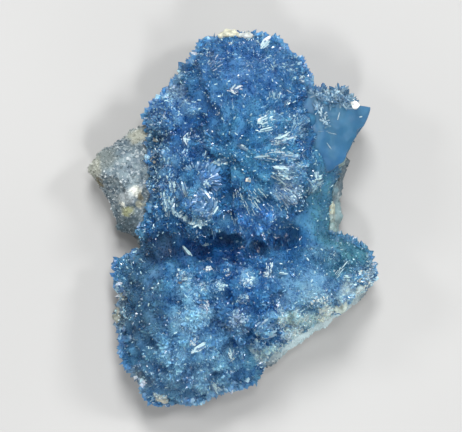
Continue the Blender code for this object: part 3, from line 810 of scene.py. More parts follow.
def grown(spots, shaped, size):
    """Crystals of a range of sizes on the given spots, each radiating from its tuft's root."""
    number = len(spots)
    tuft, top = tuft_at(spots)
    rays = unit(unit(spots - tuft_roots[tuft]) + chance.normal(0, CRYSTAL_STRAY, spots.shape))
    coarse = tuft_coarse[tuft] * size
    draw = uniform(0, 1, number) ** FEW_LARGE
    widths = (CRYSTAL_WIDTH[0] + (CRYSTAL_WIDTH[1] - CRYSTAL_WIDTH[0]) * draw) * coarse
    thicknesses = uniform(*CRYSTAL_THICKNESS, number) * np.sqrt(coarse)
    lengths = (CRYSTAL_STANDS_OUT[0] + (CRYSTAL_STANDS_OUT[1] - CRYSTAL_STANDS_OUT[0]) * draw) * coarse
    # Painted glints and frosting: a share of the crystals is painted white.
    share, warmth = glint_and_frost_at(spots)
    pale = (uniform(0, 1, number) < share) * uniform(*GLINT_AND_FROST_STRENGTH, number)
    pale *= np.clip(GLINT_AND_FROST_WIDTH / widths, LEAST_GLINT_AND_FROST, 1)
    # Each crystal takes the painted shade or painted light of its place on its tuft.
    tone = tone_with_painted_shading(tuft, top) * uniform(*CRYSTAL_TONE, number)
    tone /= np.sqrt(np.clip(of_spray("crowding", spray_at(spots)), SPARSEST, 1))
    warm = (uniform(0, 1, number) < warmth) * WARMEST
    kept = in_box(spots + rays * lengths[:, None])
    mesh = shaped(spots[kept], rays[kept], uniform(*ANY_SPIN, number)[kept], widths[kept],
                  thicknesses[kept], lengths[kept], CRYSTAL_ROOT)
    return dressed(mesh, spots[kept], tone[kept], pale[kept], warm[kept])


# The white of frosting and of painted glints on crystal facets.
GLINT_AND_FROST_WHITE = (0.66, 0.95, 1.0, 1)
GLINT_AND_FROST_CREAM = (0.88, 0.90, 0.94, 1)
SMALL_GLINT_AND_FROST = (0.48, 0.82, 1.0, 1)


def crystal_finish(name, size=0.8, frost=GLINT_AND_FROST_WHITE, **settings):
    """Vauxite for blades: a little painted shade at the root, painted light at the tip, and white for frost
    and painted glints.
    """
    finish, colour = vauxite_finish(name, size, **settings)
    # Painted shade towards the root of each crystal, painted light towards its tip.
    colour = finish.vector("SCALE", colour, finish.span(finish.own("reach"), 0, 1, 0.85, 1.1))
    # White of frosting and painted glints where the crystal is pale.
    white = finish.mix(finish.own("warm"), frost, GLINT_AND_FROST_CREAM)
    finish.colour(finish.mix(finish.own("pale"), colour, white))
    finish.roughness(0.25, 0.05, 0.2)
    finish.bump(0.06, 3, 0.2, 0.02)
    return finish


def crowded_half(is_north):
    """How crowded the crystals are at each face of the northern or the southern half."""
    return lambda places, outward: (of_spray("crowding", spray_at(places)) * open_sky(outward)
                                    * ((places[:, 1] > NORTH_OF) == is_north))


small_finish = crystal_finish("vauxite_small_crystals", 0.55, SMALL_GLINT_AND_FROST, Subsurface_Weight=0.85,
                              Transmission_Weight=0.2)
for name, is_north in (("upper", True), ("lower", False)):
    for kind, shaped, number, size in (("splinters", splinters, SPLINTERS, 1.0),
                                       ("blades", blades, SMALL_BLADES, SMALL_BLADE_SIZE)):
        small = grown(seeded_spots(crust_skin, number, crowded_half(is_north))[0], shaped, size)
        finished(small, f"vauxite_small_{kind}_{name}", small_finish)


# The needles
# Thin needles of vauxite lie between the small crystals, about half of them painted white, as
# frosting and painted glints. They point away from the root of their spray, and are most common
# in the patches with the most frosting and painted glints.
NEEDLES = 3200
NEEDLE_LIFT = (0.02, 0.16)
NEEDLE_UP = (0.05, 0.5)
NEEDLE_STRAY = 0.8
NEEDLE_WIDTH = (0.04, 0.12)
NEEDLE_LENGTH = (0.05, 0.22)
NEEDLE_ROOT = 0.1
NEEDLE_TONE = (0.9, 1.4)
NEEDLE_BRIGHT = 0.45
NEEDLE_SPARSE = 0.03
NEEDLE_LEAST_CROWDED = 0.3


def needled(places, outward):
    """Needles are commonest where the crust has frosting and painted glints, and there are none in the
    crevice.
    """
    spray = spray_at(places)
    often = np.maximum(of_spray("crowding", spray), NEEDLE_LEAST_CROWDED)
    often *= of_spray("name", spray) != "groove"
    return often * open_sky(outward) * (NEEDLE_SPARSE + glint_and_frost_at(places)[0])


spots, outward = seeded_spots(crust_skin, NEEDLES, needled)
away = spots - of_spray("root", spray_at(spots)) + chance.normal(0, NEEDLE_STRAY, spots.shape)
along = unit(away - outward * np.sum(away * outward, axis=1, keepdims=True))
rays = unit(along + outward * uniform(*NEEDLE_UP, (NEEDLES, 1)))
feet = spots + outward * uniform(*NEEDLE_LIFT, (NEEDLES, 1))
lengths = uniform(*NEEDLE_LENGTH, NEEDLES)
# About half the needles are painted white: frosting and painted glints.
pale = (uniform(0, 1, NEEDLES) < NEEDLE_BRIGHT) * uniform(*GLINT_AND_FROST_STRENGTH, NEEDLES)
kept = in_box(feet + rays * lengths[:, None])
needles = blades(feet[kept], rays[kept], uniform(*ANY_SPIN, NEEDLES)[kept],
                 uniform(*NEEDLE_WIDTH, NEEDLES)[kept], uniform(*NEEDLE_WIDTH, NEEDLES)[kept],
                 lengths[kept], NEEDLE_ROOT)
dressed(needles, spots[kept], uniform(*NEEDLE_TONE, NEEDLES)[kept], pale[kept], np.zeros(NEEDLES)[kept])
blade_finish = crystal_finish("vauxite_blades", Transmission_Weight=0.3)
finished(needles, "vauxite_needles", blade_finish)


# The teeth along the edge
# Where the crust ends in the open, stout crystals lie flat and point outwards, side by side.
# Their tips give the edge its teeth.
TOOTH_COUNT = 7000
TOOTH_WIDTH = (0.20, 0.60)
TOOTH_THICKNESS = (0.12, 0.28)
TOOTH_STANDS_OUT = (0.10, 0.60)
TOOTH_ROOT = 0.6
TOOTH_STRAY = (0.35, 0.35, 0.455)
TOOTH_SPIN = (60, 120)
TOOTH_TONE = (0.85, 1.3)
TOOTH_GLINT_AND_FROST = (0.2, 0.7)
LEVEL = (1, 1, 0)
TEETH_FROM = 2.6
TEETH_TO = 9.0
TEETH_STEEPEST = 0.7
TEETH_GLINT_AND_FROST = 0.05
TOOTHLESS = ("plate", "margin", "groove")
BREAK_FROM, BREAK_TO = np.array((2.8, -11.2)), np.array((9.6, -6.5))
BREAK_WIDTH = 2.2
TOP_ROCK_FROM = 14.2
TOP_ROCK_HALF = 1.5
RIM_REACH = 0.4
ABOVE_ALL = 40.0
DOWN = Vector((0, 0, -1))


def on_edge(places, outward):
    """Faces that look sideways, away from the smooth stretches, the broken one and the top rock."""
    sideways = np.clip(1 - np.abs(outward[:, 2]) / TEETH_STEEPEST, 0, 1)
    level = (places[:, 2] > TEETH_FROM) & (places[:, 2] < TEETH_TO)
    toothed = ~np.isin(of_spray("name", spray_at(places)), TOOTHLESS)
    along = BREAK_TO - BREAK_FROM
    share = np.clip((places[:, :2] - BREAK_FROM) @ along / (along @ along), 0, 1)
    off_break = np.linalg.norm(places[:, :2] - BREAK_FROM - share[:, None] * along, axis=1)
    off_rock = (places[:, 1] < TOP_ROCK_FROM) | (np.abs(places[:, 0]) > TOP_ROCK_HALF)
    return sideways * level * toothed * off_rock * (off_break > BREAK_WIDTH)


spots, outward = seeded_spots(crust_skin, TOOTH_COUNT, on_edge)
rays = unit(outward * LEVEL + chance.normal(0, TOOTH_STRAY, outward.shape))
lengths = uniform(*TOOTH_STANDS_OUT, TOOTH_COUNT)
on_rim = np.array([crust_tree.ray_cast(Vector((x, y, ABOVE_ALL)), DOWN)[0] is None
                   for x, y, _ in spots + unit(outward * LEVEL) * RIM_REACH])
kept = in_box(spots + rays * lengths[:, None]) & on_rim
spots, rays, lengths = spots[kept], rays[kept], lengths[kept]
number = len(spots)
teeth = splinters(spots, rays, uniform(*TOOTH_SPIN, number), uniform(*TOOTH_WIDTH, number),
                  uniform(*TOOTH_THICKNESS, number), lengths, TOOTH_ROOT)
share, warmth = glint_and_frost_at(spots)
# Some teeth are painted white, as frosting and painted glints.
pale = (uniform(0, 1, number) < share + TEETH_GLINT_AND_FROST) * uniform(*TOOTH_GLINT_AND_FROST, number)
dressed(teeth, spots, uniform(*TOOTH_TONE, number), pale, uniform(0, 1, number) < warmth)
tooth_finish = crystal_finish("vauxite_teeth", Subsurface_Weight=0.8, Transmission_Weight=0.2)
tooth_finish.roughness(0.3, 0.3, 0.5)
finished(teeth, "vauxite_edge_teeth", tooth_finish)


# The bright sheaves
# Here and there thin blades lie side by side like a sheaf of straw. Their polished sides catch the
# light, shown as painted highlight: white, pinkish or pale blue streaks, with painted shade on the
# dimmer blades. The largest sheaves are in the fan, right of the middle, where they all point away
# from its root.
SHEAF_LIFT = (0.0, 0.12)
SHEAF_ROOT = 0.25
SHEAF_THICKNESS = (0.05, 0.09)
SHEAF_SIZES = (0.4, 1.2)
SHEAF_SPINS = (35, 145)
SHEAF_STRAY = 0.4
LOW_TILT = 9
LOW_TILTS = (0.2, 1.4)
SHEAF_TONES = (0.9, 1.2)
SHEAF_PAINTED_GLINT = (0.7, 1.2)
SHEAF_WARMTHS = (0.3, 1.2)
BRIGHT_SHARE = 0.65
DIM = 0.15
DIM_TONE = 0.65
RIM_HEIGHT = 4.4
Sheaf = namedtuple("Sheaf", "x y heading splay count across along length width pale warm")
SHEAVES = [Sheaf(*row) for row in (
    # the fan
    (2.75, 7.85, 25, 5, 13, 0.55, 0.7, 1.1, 0.15, 0.95, 0.2),
    (2.6, 6.95, 8, 4, 8, 0.5, 0.2, 0.9, 0.12, 0.85, 0.1),
    (4.1, 6.15, 10, 8, 26, 0.5, 1.3, 0.9, 0.14, 0.95, 0.5),
    (4, 5, 2, 8, 26, 0.6, 1.7, 0.9, 0.11, 0.75, 0.6),
    (2.4, 4.7, 0, 5, 8, 0.3, 0.3, 1, 0.09, 0.7, 0.3),
    (3.85, 3.4, -22, 10, 26, 0.9, 1, 0.9, 0.14, 0.85, 0.35),
    (4.2, 1.85, -42, 14, 20, 1.5, 1.5, 0.6, 0.1, 0.35, 0.9),
    (0.5, 1.35, -72, 6, 8, 0.7, 0.5, 0.9, 0.08, 0.9, 0.1),
    (1.9, 1.1, -55, 6, 22, 1.7, 1.7, 0.8, 0.08, 0.9, 0.1),
    (0.45, -0.7, -64, 6, 8, 0.5, 0.5, 1.2, 0.12, 0.4, 0.1),
    (5.2, 7.6, 60, 20, 12, 1.3, 1.2, 0.5, 0.08, 0.4, 0.1),
    # the margin right of the fan
    (6.5, 2.65, 68, 50, 34, 0.8, 1.4, 0.32, 0.14, 0.35, 0.1),
    (6.75, 3.4, 60, 60, 14, 0.5, 0.4, 0.3, 0.14, 1, 0.1),
    # the middle and the shoulder
    (1.1, 5.35, -28, 7, 12, 0.4, 0.4, 0.9, 0.14, 0.9, 0.3),
    (-0.85, 4.42, 8, 30, 44, 0.35, 0.8, 0.4, 0.2, 1, 0.3),
    (-3.6, 6.1, -20, 60, 24, 0.6, 0.5, 0.4, 0.14, 1, 0.4),
    (-2.05, 5.1, 70, 12, 7, 0.2, 0.2, 0.5, 0.12, 0.95, 0.1),
    # left of the rosette
    (-4.85, 2.75, 98, 10, 22, 0.35, 0.8, 0.5, 0.16, 0.95, 0.2),
    (-5.3, 1.15, 88, 8, 40, 0.4, 1.7, 0.5, 0.16, 0.95, 0.1),
    (-3.95, 2.45, 105, 8, 20, 0.6, 1.1, 0.9, 0.18, 0.35, 0.3),
    # the crevice
    (-3.72, -2.78, -52, 3, 9, 0.14, 0.1, 0.78, 0.13, 1, 0),
    (-1.5, -1.4, -80, 6, 6, 0.2, 0.2, 0.8, 0.1, 0.6, 0),
    (-1.9, -2.05, 20, 12, 6, 0.2, 0.2, 0.6, 0.14, 0.45, 0),
    (-1.75, -3.45, -20, 40, 7, 0.3, 0.2, 0.3, 0.16, 0.6, 0.1),
    # the crest of the lower mass
    (1.15, -5, 45, 60, 60, 0.7, 0.8, 0.3, 0.24, 1, 0.4),
    (1, -6.45, 10, 30, 24, 0.6, 0.6, 0.35, 0.17, 1, 0.3),
    (2.75, -4.1, 80, 14, 40, 0.5, 0.9, 0.4, 0.2, 1, 0.5),
    (-1.8, -4.3, 0, 180, 26, 0.5, 0.4, 0.32, 0.16, 1, 0.6),
    (-0.3, -4.3, 60, 120, 20, 0.8, 0.4, 0.25, 0.14, 0.85, 0.2),
    (-0.8, -5.4, 0, 180, 20, 0.8, 0.5, 0.26, 0.13, 0.85, 0.1),
    (4.2, -4.4, 5, 8, 5, 0.2, 0.2, 0.5, 0.14, 0.95, 0.1),
    (-2.25, -5.4, 60, 180, 20, 0.6, 0.6, 0.3, 0.14, 0.85, 0.1),
    (-4, -4.7, 60, 70, 34, 1, 0.8, 0.28, 0.16, 0.95, 0.2),
    # the lower mass below its crest
    (-2.3, -6.95, 120, 20, 30, 0.6, 0.8, 0.45, 0.16, 0.8, 1),
    (2.65, -8.75, 32, 14, 22, 1.4, 0.9, 1.1, 0.24, 0.35, 0.2),
    (1.7, -10.25, 100, 12, 24, 0.9, 0.5, 1, 0.14, 0.7, 0.1),
    (-2.55, -10.35, 25, 5, 14, 0.25, 0.3, 1, 0.16, 1, 0.3),
    (-3.1, -9.85, 60, 40, 16, 0.5, 0.4, 0.35, 0.12, 0.75, 0.8),
    (-0.1, -10.95, 75, 40, 26, 0.4, 0.6, 0.35, 0.18, 0.95, 0.3),
    (-1.45, -13.75, -55, 10, 22, 0.5, 0.5, 0.85, 0.14, 0.85, 0.3),
    # the right end of the lower mass
    (9.25, -4.68, 4, 3, 7, 0.12, 0.1, 0.55, 0.2, 1, 0),
    (9.15, -5.02, 4, 3, 7, 0.12, 0.1, 0.6, 0.2, 1, 0),
    (8.7, -4.05, 50, 4, 12, 0.4, 0.7, 0.7, 0.08, 0.7, 0.1),
    # the crown
    (2.6, 13.9, 52, 12, 16, 0.35, 0.3, 0.7, 0.14, 0.95, 0.3),
    (5.55, 11, 10, 20, 14, 0.4, 0.3, 0.45, 0.15, 0.95, 0.5),
    (0.3, 10.15, 8, 40, 26, 0.4, 0.9, 0.3, 0.14, 1, 1),
    (3.3, 9.9, 85, 10, 16, 0.9, 0.3, 0.5, 0.08, 0.5, 0.1),
    (4.75, 9.6, -38, 5, 6, 0.25, 0.2, 0.8, 0.09, 0.75, 0.4),
    (4.25, 9.15, 70, 25, 12, 0.35, 0.3, 0.3, 0.14, 1, 0.1),
    (-1.3, 12.3, 35, 15, 16, 0.9, 0.8, 0.35, 0.1, 0.6, 0.8),
    (-1.05, 8.25, 20, 60, 8, 0.2, 0.2, 0.25, 0.12, 0.8, 0.8),
)]
crust_tree = BVHTree.FromPolygons(points_of(crust_skin).tolist(), triangles_of(crust_skin).tolist())


def crust_under(x, y):
    """The point of the crust's skin straight under a place, or else the nearest one, and the
    way that it faces."""
    spot, outward, _, _ = crust_tree.ray_cast(Vector((x, y, ABOVE_ALL)), DOWN)
    if spot is None:
        spot, outward, _, _ = crust_tree.find_nearest(Vector((x, y, RIM_HEIGHT)))
    return np.array(spot), np.array(outward)


def level_way(angle):
    """The level way at this angle from X, in radians."""
    return np.array((math.cos(angle), math.sin(angle)))


def sheaf_feet(sheaf):
    """Feet and rays of one sheaf. Its blades lie along the slope that they grow on."""
    feet, rays = [], []
    turn = math.radians(sheaf.heading)
    onward = level_way(turn)
    sideways = np.array((-onward[1], onward[0]))
    for i in range(sheaf.count):
        share = (i + 0.5) / sheaf.count * 2 - 1
        start = (np.array((sheaf.x, sheaf.y)) + sideways * share * sheaf.across / 2
                 + onward * (uniform(-0.5, 0.5) * sheaf.along - sheaf.length / 2))
        spot, outward = crust_under(*start)
        ahead = level_way(turn + math.radians(sheaf.splay) * (share + uniform(-SHEAF_STRAY, SHEAF_STRAY)))
        end = crust_under(*(start + ahead * sheaf.length))[0]
        drop = np.clip((end[2] - spot[2]) / sheaf.length, -1, 1)
        slope = np.array((*ahead, drop)) / math.hypot(1, drop)
        tilt = math.radians(LOW_TILT * uniform(*LOW_TILTS))
        feet.append(spot + outward * uniform(*SHEAF_LIFT))
        rays.append(slope * math.cos(tilt) + outward * math.sin(tilt))
    return np.array(feet), np.array(rays)


def gathered(meshes):
    """Many meshes as one, with what each of them holds."""
    whole = bmesh.new()
    for mesh in meshes:
        whole.from_mesh(mesh)
        bpy.data.meshes.remove(mesh)
    joined = bpy.data.meshes.new("joined")
    whole.to_mesh(joined)
    whole.free()
    return joined


bundles = []
for sheaf in SHEAVES:
    feet, rays = sheaf_feet(sheaf)
    number = sheaf.count
    size = uniform(*SHEAF_SIZES, number)
    bundle = blades(feet, rays, uniform(*SHEAF_SPINS, number), sheaf.width * np.sqrt(size),
                    uniform(*SHEAF_THICKNESS, number), sheaf.length * size, SHEAF_ROOT, sides=6)
    # Painted highlight on the bright blades, and painted shade on the dim ones.
    is_bright = uniform(0, 1, number) < BRIGHT_SHARE
    tone = uniform(*SHEAF_TONES, number) * np.where(is_bright, 1, DIM_TONE)
    pale = np.minimum(sheaf.pale * np.where(is_bright, 1, DIM) * uniform(*SHEAF_PAINTED_GLINT, number), 1)
    warm = np.minimum(sheaf.warm * uniform(*SHEAF_WARMTHS, number), 1)
    bundles.append(dressed(bundle, feet, tone, pale, warm))
finished(gathered(bundles), "vauxite_sheaves", blade_finish)


# The rosette
# Left of the fan stands a rosette of two lobes. In the upper one broad thin blades point outwards
# like petals and end in a saw-toothed rim. In the lower one they stand in arcs, one around
# another, and the outermost is painted pale: frosting, and painted glints.
PETAL_STRAY = 0.12
PETAL_TURNS = (-5, 5)
PETAL_TILTS = (-4, 10)
PETAL_SPINS = (60, 120)
PETAL_SIZES = (0.7, 1.2)
PETAL_TONES = (0.85, 1.15)
PETAL_GLINT_AND_FROST = (0.1, 1.6)
PETAL_WARMTHS = (0.0, 0.3)
Petals = namedtuple("Petals", "x y reach_x reach_y first last turn count length width pale")
PETALS = [Petals(*row) for row in (
    # the upper lobe
    (-2.25, 2.95, 0.65, 0.85, -45, 72, 0, 30, 0.6, 0.22, 0.08),
    (-2.65, 2.9, 0.3, 0.4, -50, 80, 0, 12, 0.6, 0.2, 0.05),
    (-3.1, 3.5, 0.6, 0.4, 40, 150, 0, 18, 0.45, 0.14, 0.25),
    # the lower lobe
    (-2.7, 0.95, 1.2, 1.1, -60, 80, 82, 34, 0.45, 0.18, 0.3),
    (-2.7, 0.95, 1.32, 1.2, -40, 35, 85, 14, 0.32, 0.14, 0.95),
    (-2.75, 0.95, 0.85, 0.8, -90, 100, 80, 30, 0.45, 0.22, 0.08),
    (-2.8, 0.95, 0.45, 0.45, -90, 140, 80, 16, 0.4, 0.22, 0.12),
    (-2.95, 0.8, 1.25, 1.15, -165, -55, 10, 44, 0.26, 0.16, 0.75),
    (-2.75, -0.45, 0.45, 0.06, -180, 180, 0, 26, 0.28, 0.18, 1),
    (-3.35, 1.05, 1.45, 1.35, 150, 240, 85, 34, 0.4, 0.16, 0.6),
    # the heart of the upper lobe
    (-2.05, 2.7, 0.12, 0.12, 0, 340, 0, 16, 0.2, 0.14, 1),
)]
bunches = []
for ring in PETALS:
    number = ring.count
    ways = np.radians(np.linspace(ring.first, ring.last, number) + uniform(*PETAL_TURNS, number))
    starts = np.column_stack((ring.x + np.cos(ways) * ring.reach_x, ring.y + np.sin(ways) * ring.reach_y))
    starts += uniform(-PETAL_STRAY, PETAL_STRAY, starts.shape)
    feet = np.array([crust_under(*start)[0] for start in starts])
    feet[:, 2] += uniform(*SHEAF_LIFT, number)
    tilts = np.radians(uniform(*PETAL_TILTS, number))
    ways += math.radians(ring.turn)
    rays = np.column_stack((np.cos(ways) * np.cos(tilts), np.sin(ways) * np.cos(tilts), np.sin(tilts)))
    size = uniform(*PETAL_SIZES, number)
    bunch = blades(feet, rays, uniform(*PETAL_SPINS, number), ring.width * size,
                   uniform(*SHEAF_THICKNESS, number), ring.length * size, SHEAF_ROOT, sides=6)
    tone = uniform(*PETAL_TONES, number)
    # Painted glints and frosting on the petals.
    pale = np.minimum(ring.pale * uniform(*PETAL_GLINT_AND_FROST, number), 1)
    bunches.append(dressed(bunch, feet, tone, pale, uniform(*PETAL_WARMTHS, number)))
finished(gathered(bunches), "vauxite_rosette", blade_finish)


# The smooth plate
# On the right the crust ends in a clear plate of vauxite that grew without crystals on it, with a
# sharp corner. Its broken outer sides slope inwards, and its inner ones lie buried in the crust.
PLATE_CORNERS = ((9.5, 9.2), (10.0, 8.82), (11.0, 8.72), (10.5, 7.65), (9.95, 6.7), (9.35, 5.6),
                 (9.0, 4.95), (8.6, 4.3), (7.6, 3.6), (6.4, 3.4), (5.4, 5.0), (5.3, 9.0),
                 (6.4, 9.75), (7.6, 9.9), (8.7, 9.75))
PLATE_HIGH = 7.0
PLATE_SLOPE_X, PLATE_SLOPE_Y = -0.34, -0.05
PLATE_BEND_X, PLATE_BEND_Y = -0.05, -0.08
PLATE_THICKNESS = 2.8
PLATE_TAPER = 0.14
PLATE_TONE = 0.84
PLATE_GRID = 0.3
PLATE_UNEVEN = 0.3
PLATE_EDGE_STEP = 0.35
PLATE_JAGGED = 0.035
PLATE_SIDE_STEPS = 5
PLATE_SIDE_LUMPS = (0.7, 0.28)
PLATE_WAVES = (7.0, ((2.4, 0.14), (0.8, 0.05)))
PLATE_SHARP = math.radians(35)
PLATE_VEIL = (0.070, 0.200, 0.29, 1)


def broken_outline(corners):
    """The outline with small uneven steps between its corners."""
    outline = []
    for start, end in zip(corners, corners[1:] + corners[:1]):
        steps = math.ceil((end - start).length / PLATE_EDGE_STEP)
        for i in range(steps):
            uneven = Vector(uniform(-1, 1, 2)) * PLATE_JAGGED * (i > 0)
            outline.append(start.lerp(end, i / steps) + uneven)
    return outline


def plate_mesh():
    """A closed slab. Its top slopes, bends and ripples a little, and its sides are rough."""
    corners = broken_outline([Vector(corner) for corner in PLATE_CORNERS])
    across, along = [corner.x for corner in corners], [corner.y for corner in corners]
    inner = [Vector((x, y)) + Vector(uniform(-PLATE_UNEVEN, PLATE_UNEVEN, 2)) * PLATE_GRID
             for x in np.arange(min(across), max(across), PLATE_GRID)
             for y in np.arange(min(along), max(along), PLATE_GRID)]
    around = np.arange(len(corners))
    border = np.column_stack((around, np.roll(around, -1))).tolist()
    flat, _, faces, _, _, _ = delaunay_2d_cdt(corners + inner, border, [], 1, 1e-5)
    used, faces = np.unique(faces, return_inverse=True)
    faces = faces.reshape(-1, 3)
    places = np.array([tuple(point) for point in flat])[used]
    off_x, off_y = (places - np.mean(PLATE_CORNERS, axis=0)).T
    high = (PLATE_HIGH + off_x * PLATE_SLOPE_X + off_y * PLATE_SLOPE_Y
            + off_x ** 2 * PLATE_BEND_X + off_y ** 2 * PLATE_BEND_Y)
    top = np.column_stack((places, high))
    top[:, 2] += lumps(top, *PLATE_WAVES)
    inwards = (places.mean(axis=0) - places) * PLATE_TAPER
    down = np.column_stack((inwards, np.full(len(top), -PLATE_THICKNESS)))
    between = [top[around] + down[around] * step for step in np.linspace(0, 1, PLATE_SIDE_STEPS + 2)[1:-1]]
    points = np.vstack((top, top + down, *between))
    rings = [around, *(around + 2 * len(top) + len(around) * step for step in range(PLATE_SIDE_STEPS)),
             around + len(top)]
    sides = [np.column_stack((upper, np.roll(upper, -1), np.roll(lower, -1), lower))
             for upper, lower in zip(rings, rings[1:])]
    size, depth = PLATE_SIDE_LUMPS
    points += noise_ways(points, size) * depth
    made = bpy.data.meshes.new("plate")
    made.from_pydata(points, [], [*faces, *(faces[:, ::-1] + len(top)), *np.vstack(sides)])
    hold(made, "tone", np.full(len(points), PLATE_TONE))
    hold_tint(made, tints(points_of(made)))
    return made


plate_finish, plate_colour = vauxite_finish("vauxite_plates", 1.2, Subsurface_Weight=0.8,
                                            Transmission_Weight=0.1, Specular_IOR_Level=0.2)
banded = plate_finish.vector("MULTIPLY", plate_finish.place, (1.0, 0.3, 1.0))
veil = plate_finish.span(plate_finish.grain(0.9, 4, banded), 0.4, 0.75, 0.0, 0.45)
plate_finish.colour(plate_finish.mix(veil, plate_colour, PLATE_VEIL))
plate_finish.roughness(0.6, 0.45, 0.65)
plate_finish.bump(0.4, 4, 0.3, 0.05)
plate = plate_mesh()
plate_piece = finished(plate, "vauxite_plates", plate_finish, smooth=True)
plate_piece.data.set_sharp_from_angle(angle=PLATE_SHARP)


# The tufts on the plate
# Short stout crystals, some painted white as frosting and painted glints, stand in tufts along the
# top of the plate and down its border with the fan. A few thin streaks lie on the smooth plate below them.
TUFT_UP = 0.45
TUFT_NORTH = 0.45
TUFT_SIZES = (0.5, 1.2)
TUFT_GLINT_AND_FROST = (0.0, 1.2)
STUBBY_THICKNESS = 0.7
STUBBY_SPINS = (0, 180)
STUBBY_TONES = (0.65, 1.2)
STUBBY_WARMTH = 0.4
Tuft = namedtuple("Tuft", "x y reach count length width pale")
PLATE_TUFTS = [Tuft(*row) for row in (
    (6.55, 9.9, 0.35, 26, 0.45, 0.2, 0.35),
    (7.05, 10.05, 0.35, 26, 0.5, 0.22, 0.4),
    (7.6, 9.6, 0.3, 22, 0.4, 0.18, 0.5),
    (8.05, 9.7, 0.3, 22, 0.45, 0.2, 0.45),
    (8.55, 10.05, 0.4, 30, 0.55, 0.24, 0.3),
    (9, 9.65, 0.35, 24, 0.5, 0.22, 0.3),
    (9.45, 9.3, 0.3, 20, 0.4, 0.2, 0.25),
    (6.95, 9.3, 0.4, 26, 0.4, 0.18, 0.25),
    (7.75, 9.15, 0.35, 22, 0.35, 0.18, 0.2),
    (8.55, 9.3, 0.4, 24, 0.4, 0.18, 0.2),
    (9.1, 8.8, 0.3, 12, 0.25, 0.16, 0.35),
    (6.75, 8.7, 0.3, 18, 0.35, 0.18, 0.45),
    (7.1, 8.2, 0.25, 14, 0.3, 0.18, 0.55),
    (7.3, 7.7, 0.22, 12, 0.28, 0.18, 0.6),
    (7.5, 7.3, 0.18, 8, 0.25, 0.16, 0.4),
)]
SHORT_STREAK = 0.3
Streak = namedtuple("Streak", "x y heading length width pale")
STREAKS = [Streak(*row) for row in (
    (7, 6.85, 2, 0.7, 0.08, 0.25),
    (7.6, 6.75, -12, 0.7, 0.1, 0.3),
    (7.5, 5.9, -55, 0.6, 0.08, 0.45),
    (10.15, 8, 20, 0.2, 0.12, 0.8),
    (8.4, 8, 75, 0.4, 0.1, 0.4),
)]
plate_tree = BVHTree.FromPolygons((points_of(plate) / MM).tolist(), triangles_of(plate).tolist())


def plate_under(x, y):
    """The point of the plate straight under a place, or else of the crust."""
    return plate_tree.ray_cast(Vector((x, y, ABOVE_ALL)), DOWN)[0] or crust_under(x, y)[0]


def in_circle(number):
    """Random places within a circle of radius 1."""
    angles, far = uniform(0, 2 * np.pi, number), np.sqrt(uniform(0, 1, number))
    return np.column_stack((np.cos(angles), np.sin(angles))) * far[:, None]


def stubby(feet, rays, widths, lengths, pale):
    """Stout six-sided blades on the plate, painted white by their share, as frosting and painted glints."""
    number = len(feet)
    mesh = blades(np.array(feet), np.array(rays), uniform(*STUBBY_SPINS, number), np.array(widths),
                  np.array(widths) * STUBBY_THICKNESS, np.array(lengths), SHEAF_ROOT, sides=6)
    tone, warm = uniform(*STUBBY_TONES, number), np.full(number, STUBBY_WARMTH)
    return dressed(mesh, np.array(feet), tone, np.array(pale), warm)


tuft_meshes = []
for tuft in PLATE_TUFTS:
    off = in_circle(tuft.count)
    feet = [plate_under(*place) for place in np.array((tuft.x, tuft.y)) + off * tuft.reach]
    rays = unit(np.column_stack((off + (0, TUFT_NORTH), np.full(tuft.count, TUFT_UP))))
    sizes = uniform(*TUFT_SIZES, tuft.count)
    # Some crystals of each tuft are painted white, as frosting and painted glints.
    tuft_meshes.append(stubby(feet, rays, tuft.width * sizes, tuft.length * sizes,
                              tuft.pale * uniform(*TUFT_GLINT_AND_FROST, tuft.count)))
for streak in STREAKS:
    way = level_way(math.radians(streak.heading))
    start, end = (plate_under(*(np.array((streak.x, streak.y)) + way * far)) for far in (0, streak.length))
    ray = (end - start).normalized() if streak.length > SHORT_STREAK else Vector((*way, 0))
    tuft_meshes.append(stubby([start], [ray], [streak.width], [streak.length], [streak.pale]))
tuft_finish = crystal_finish("vauxite_plate_tufts", 0.4, Subsurface_Weight=0.5, Transmission_Weight=0.2)
finished(gathered(tuft_meshes), "vauxite_plate_tufts", tuft_finish)


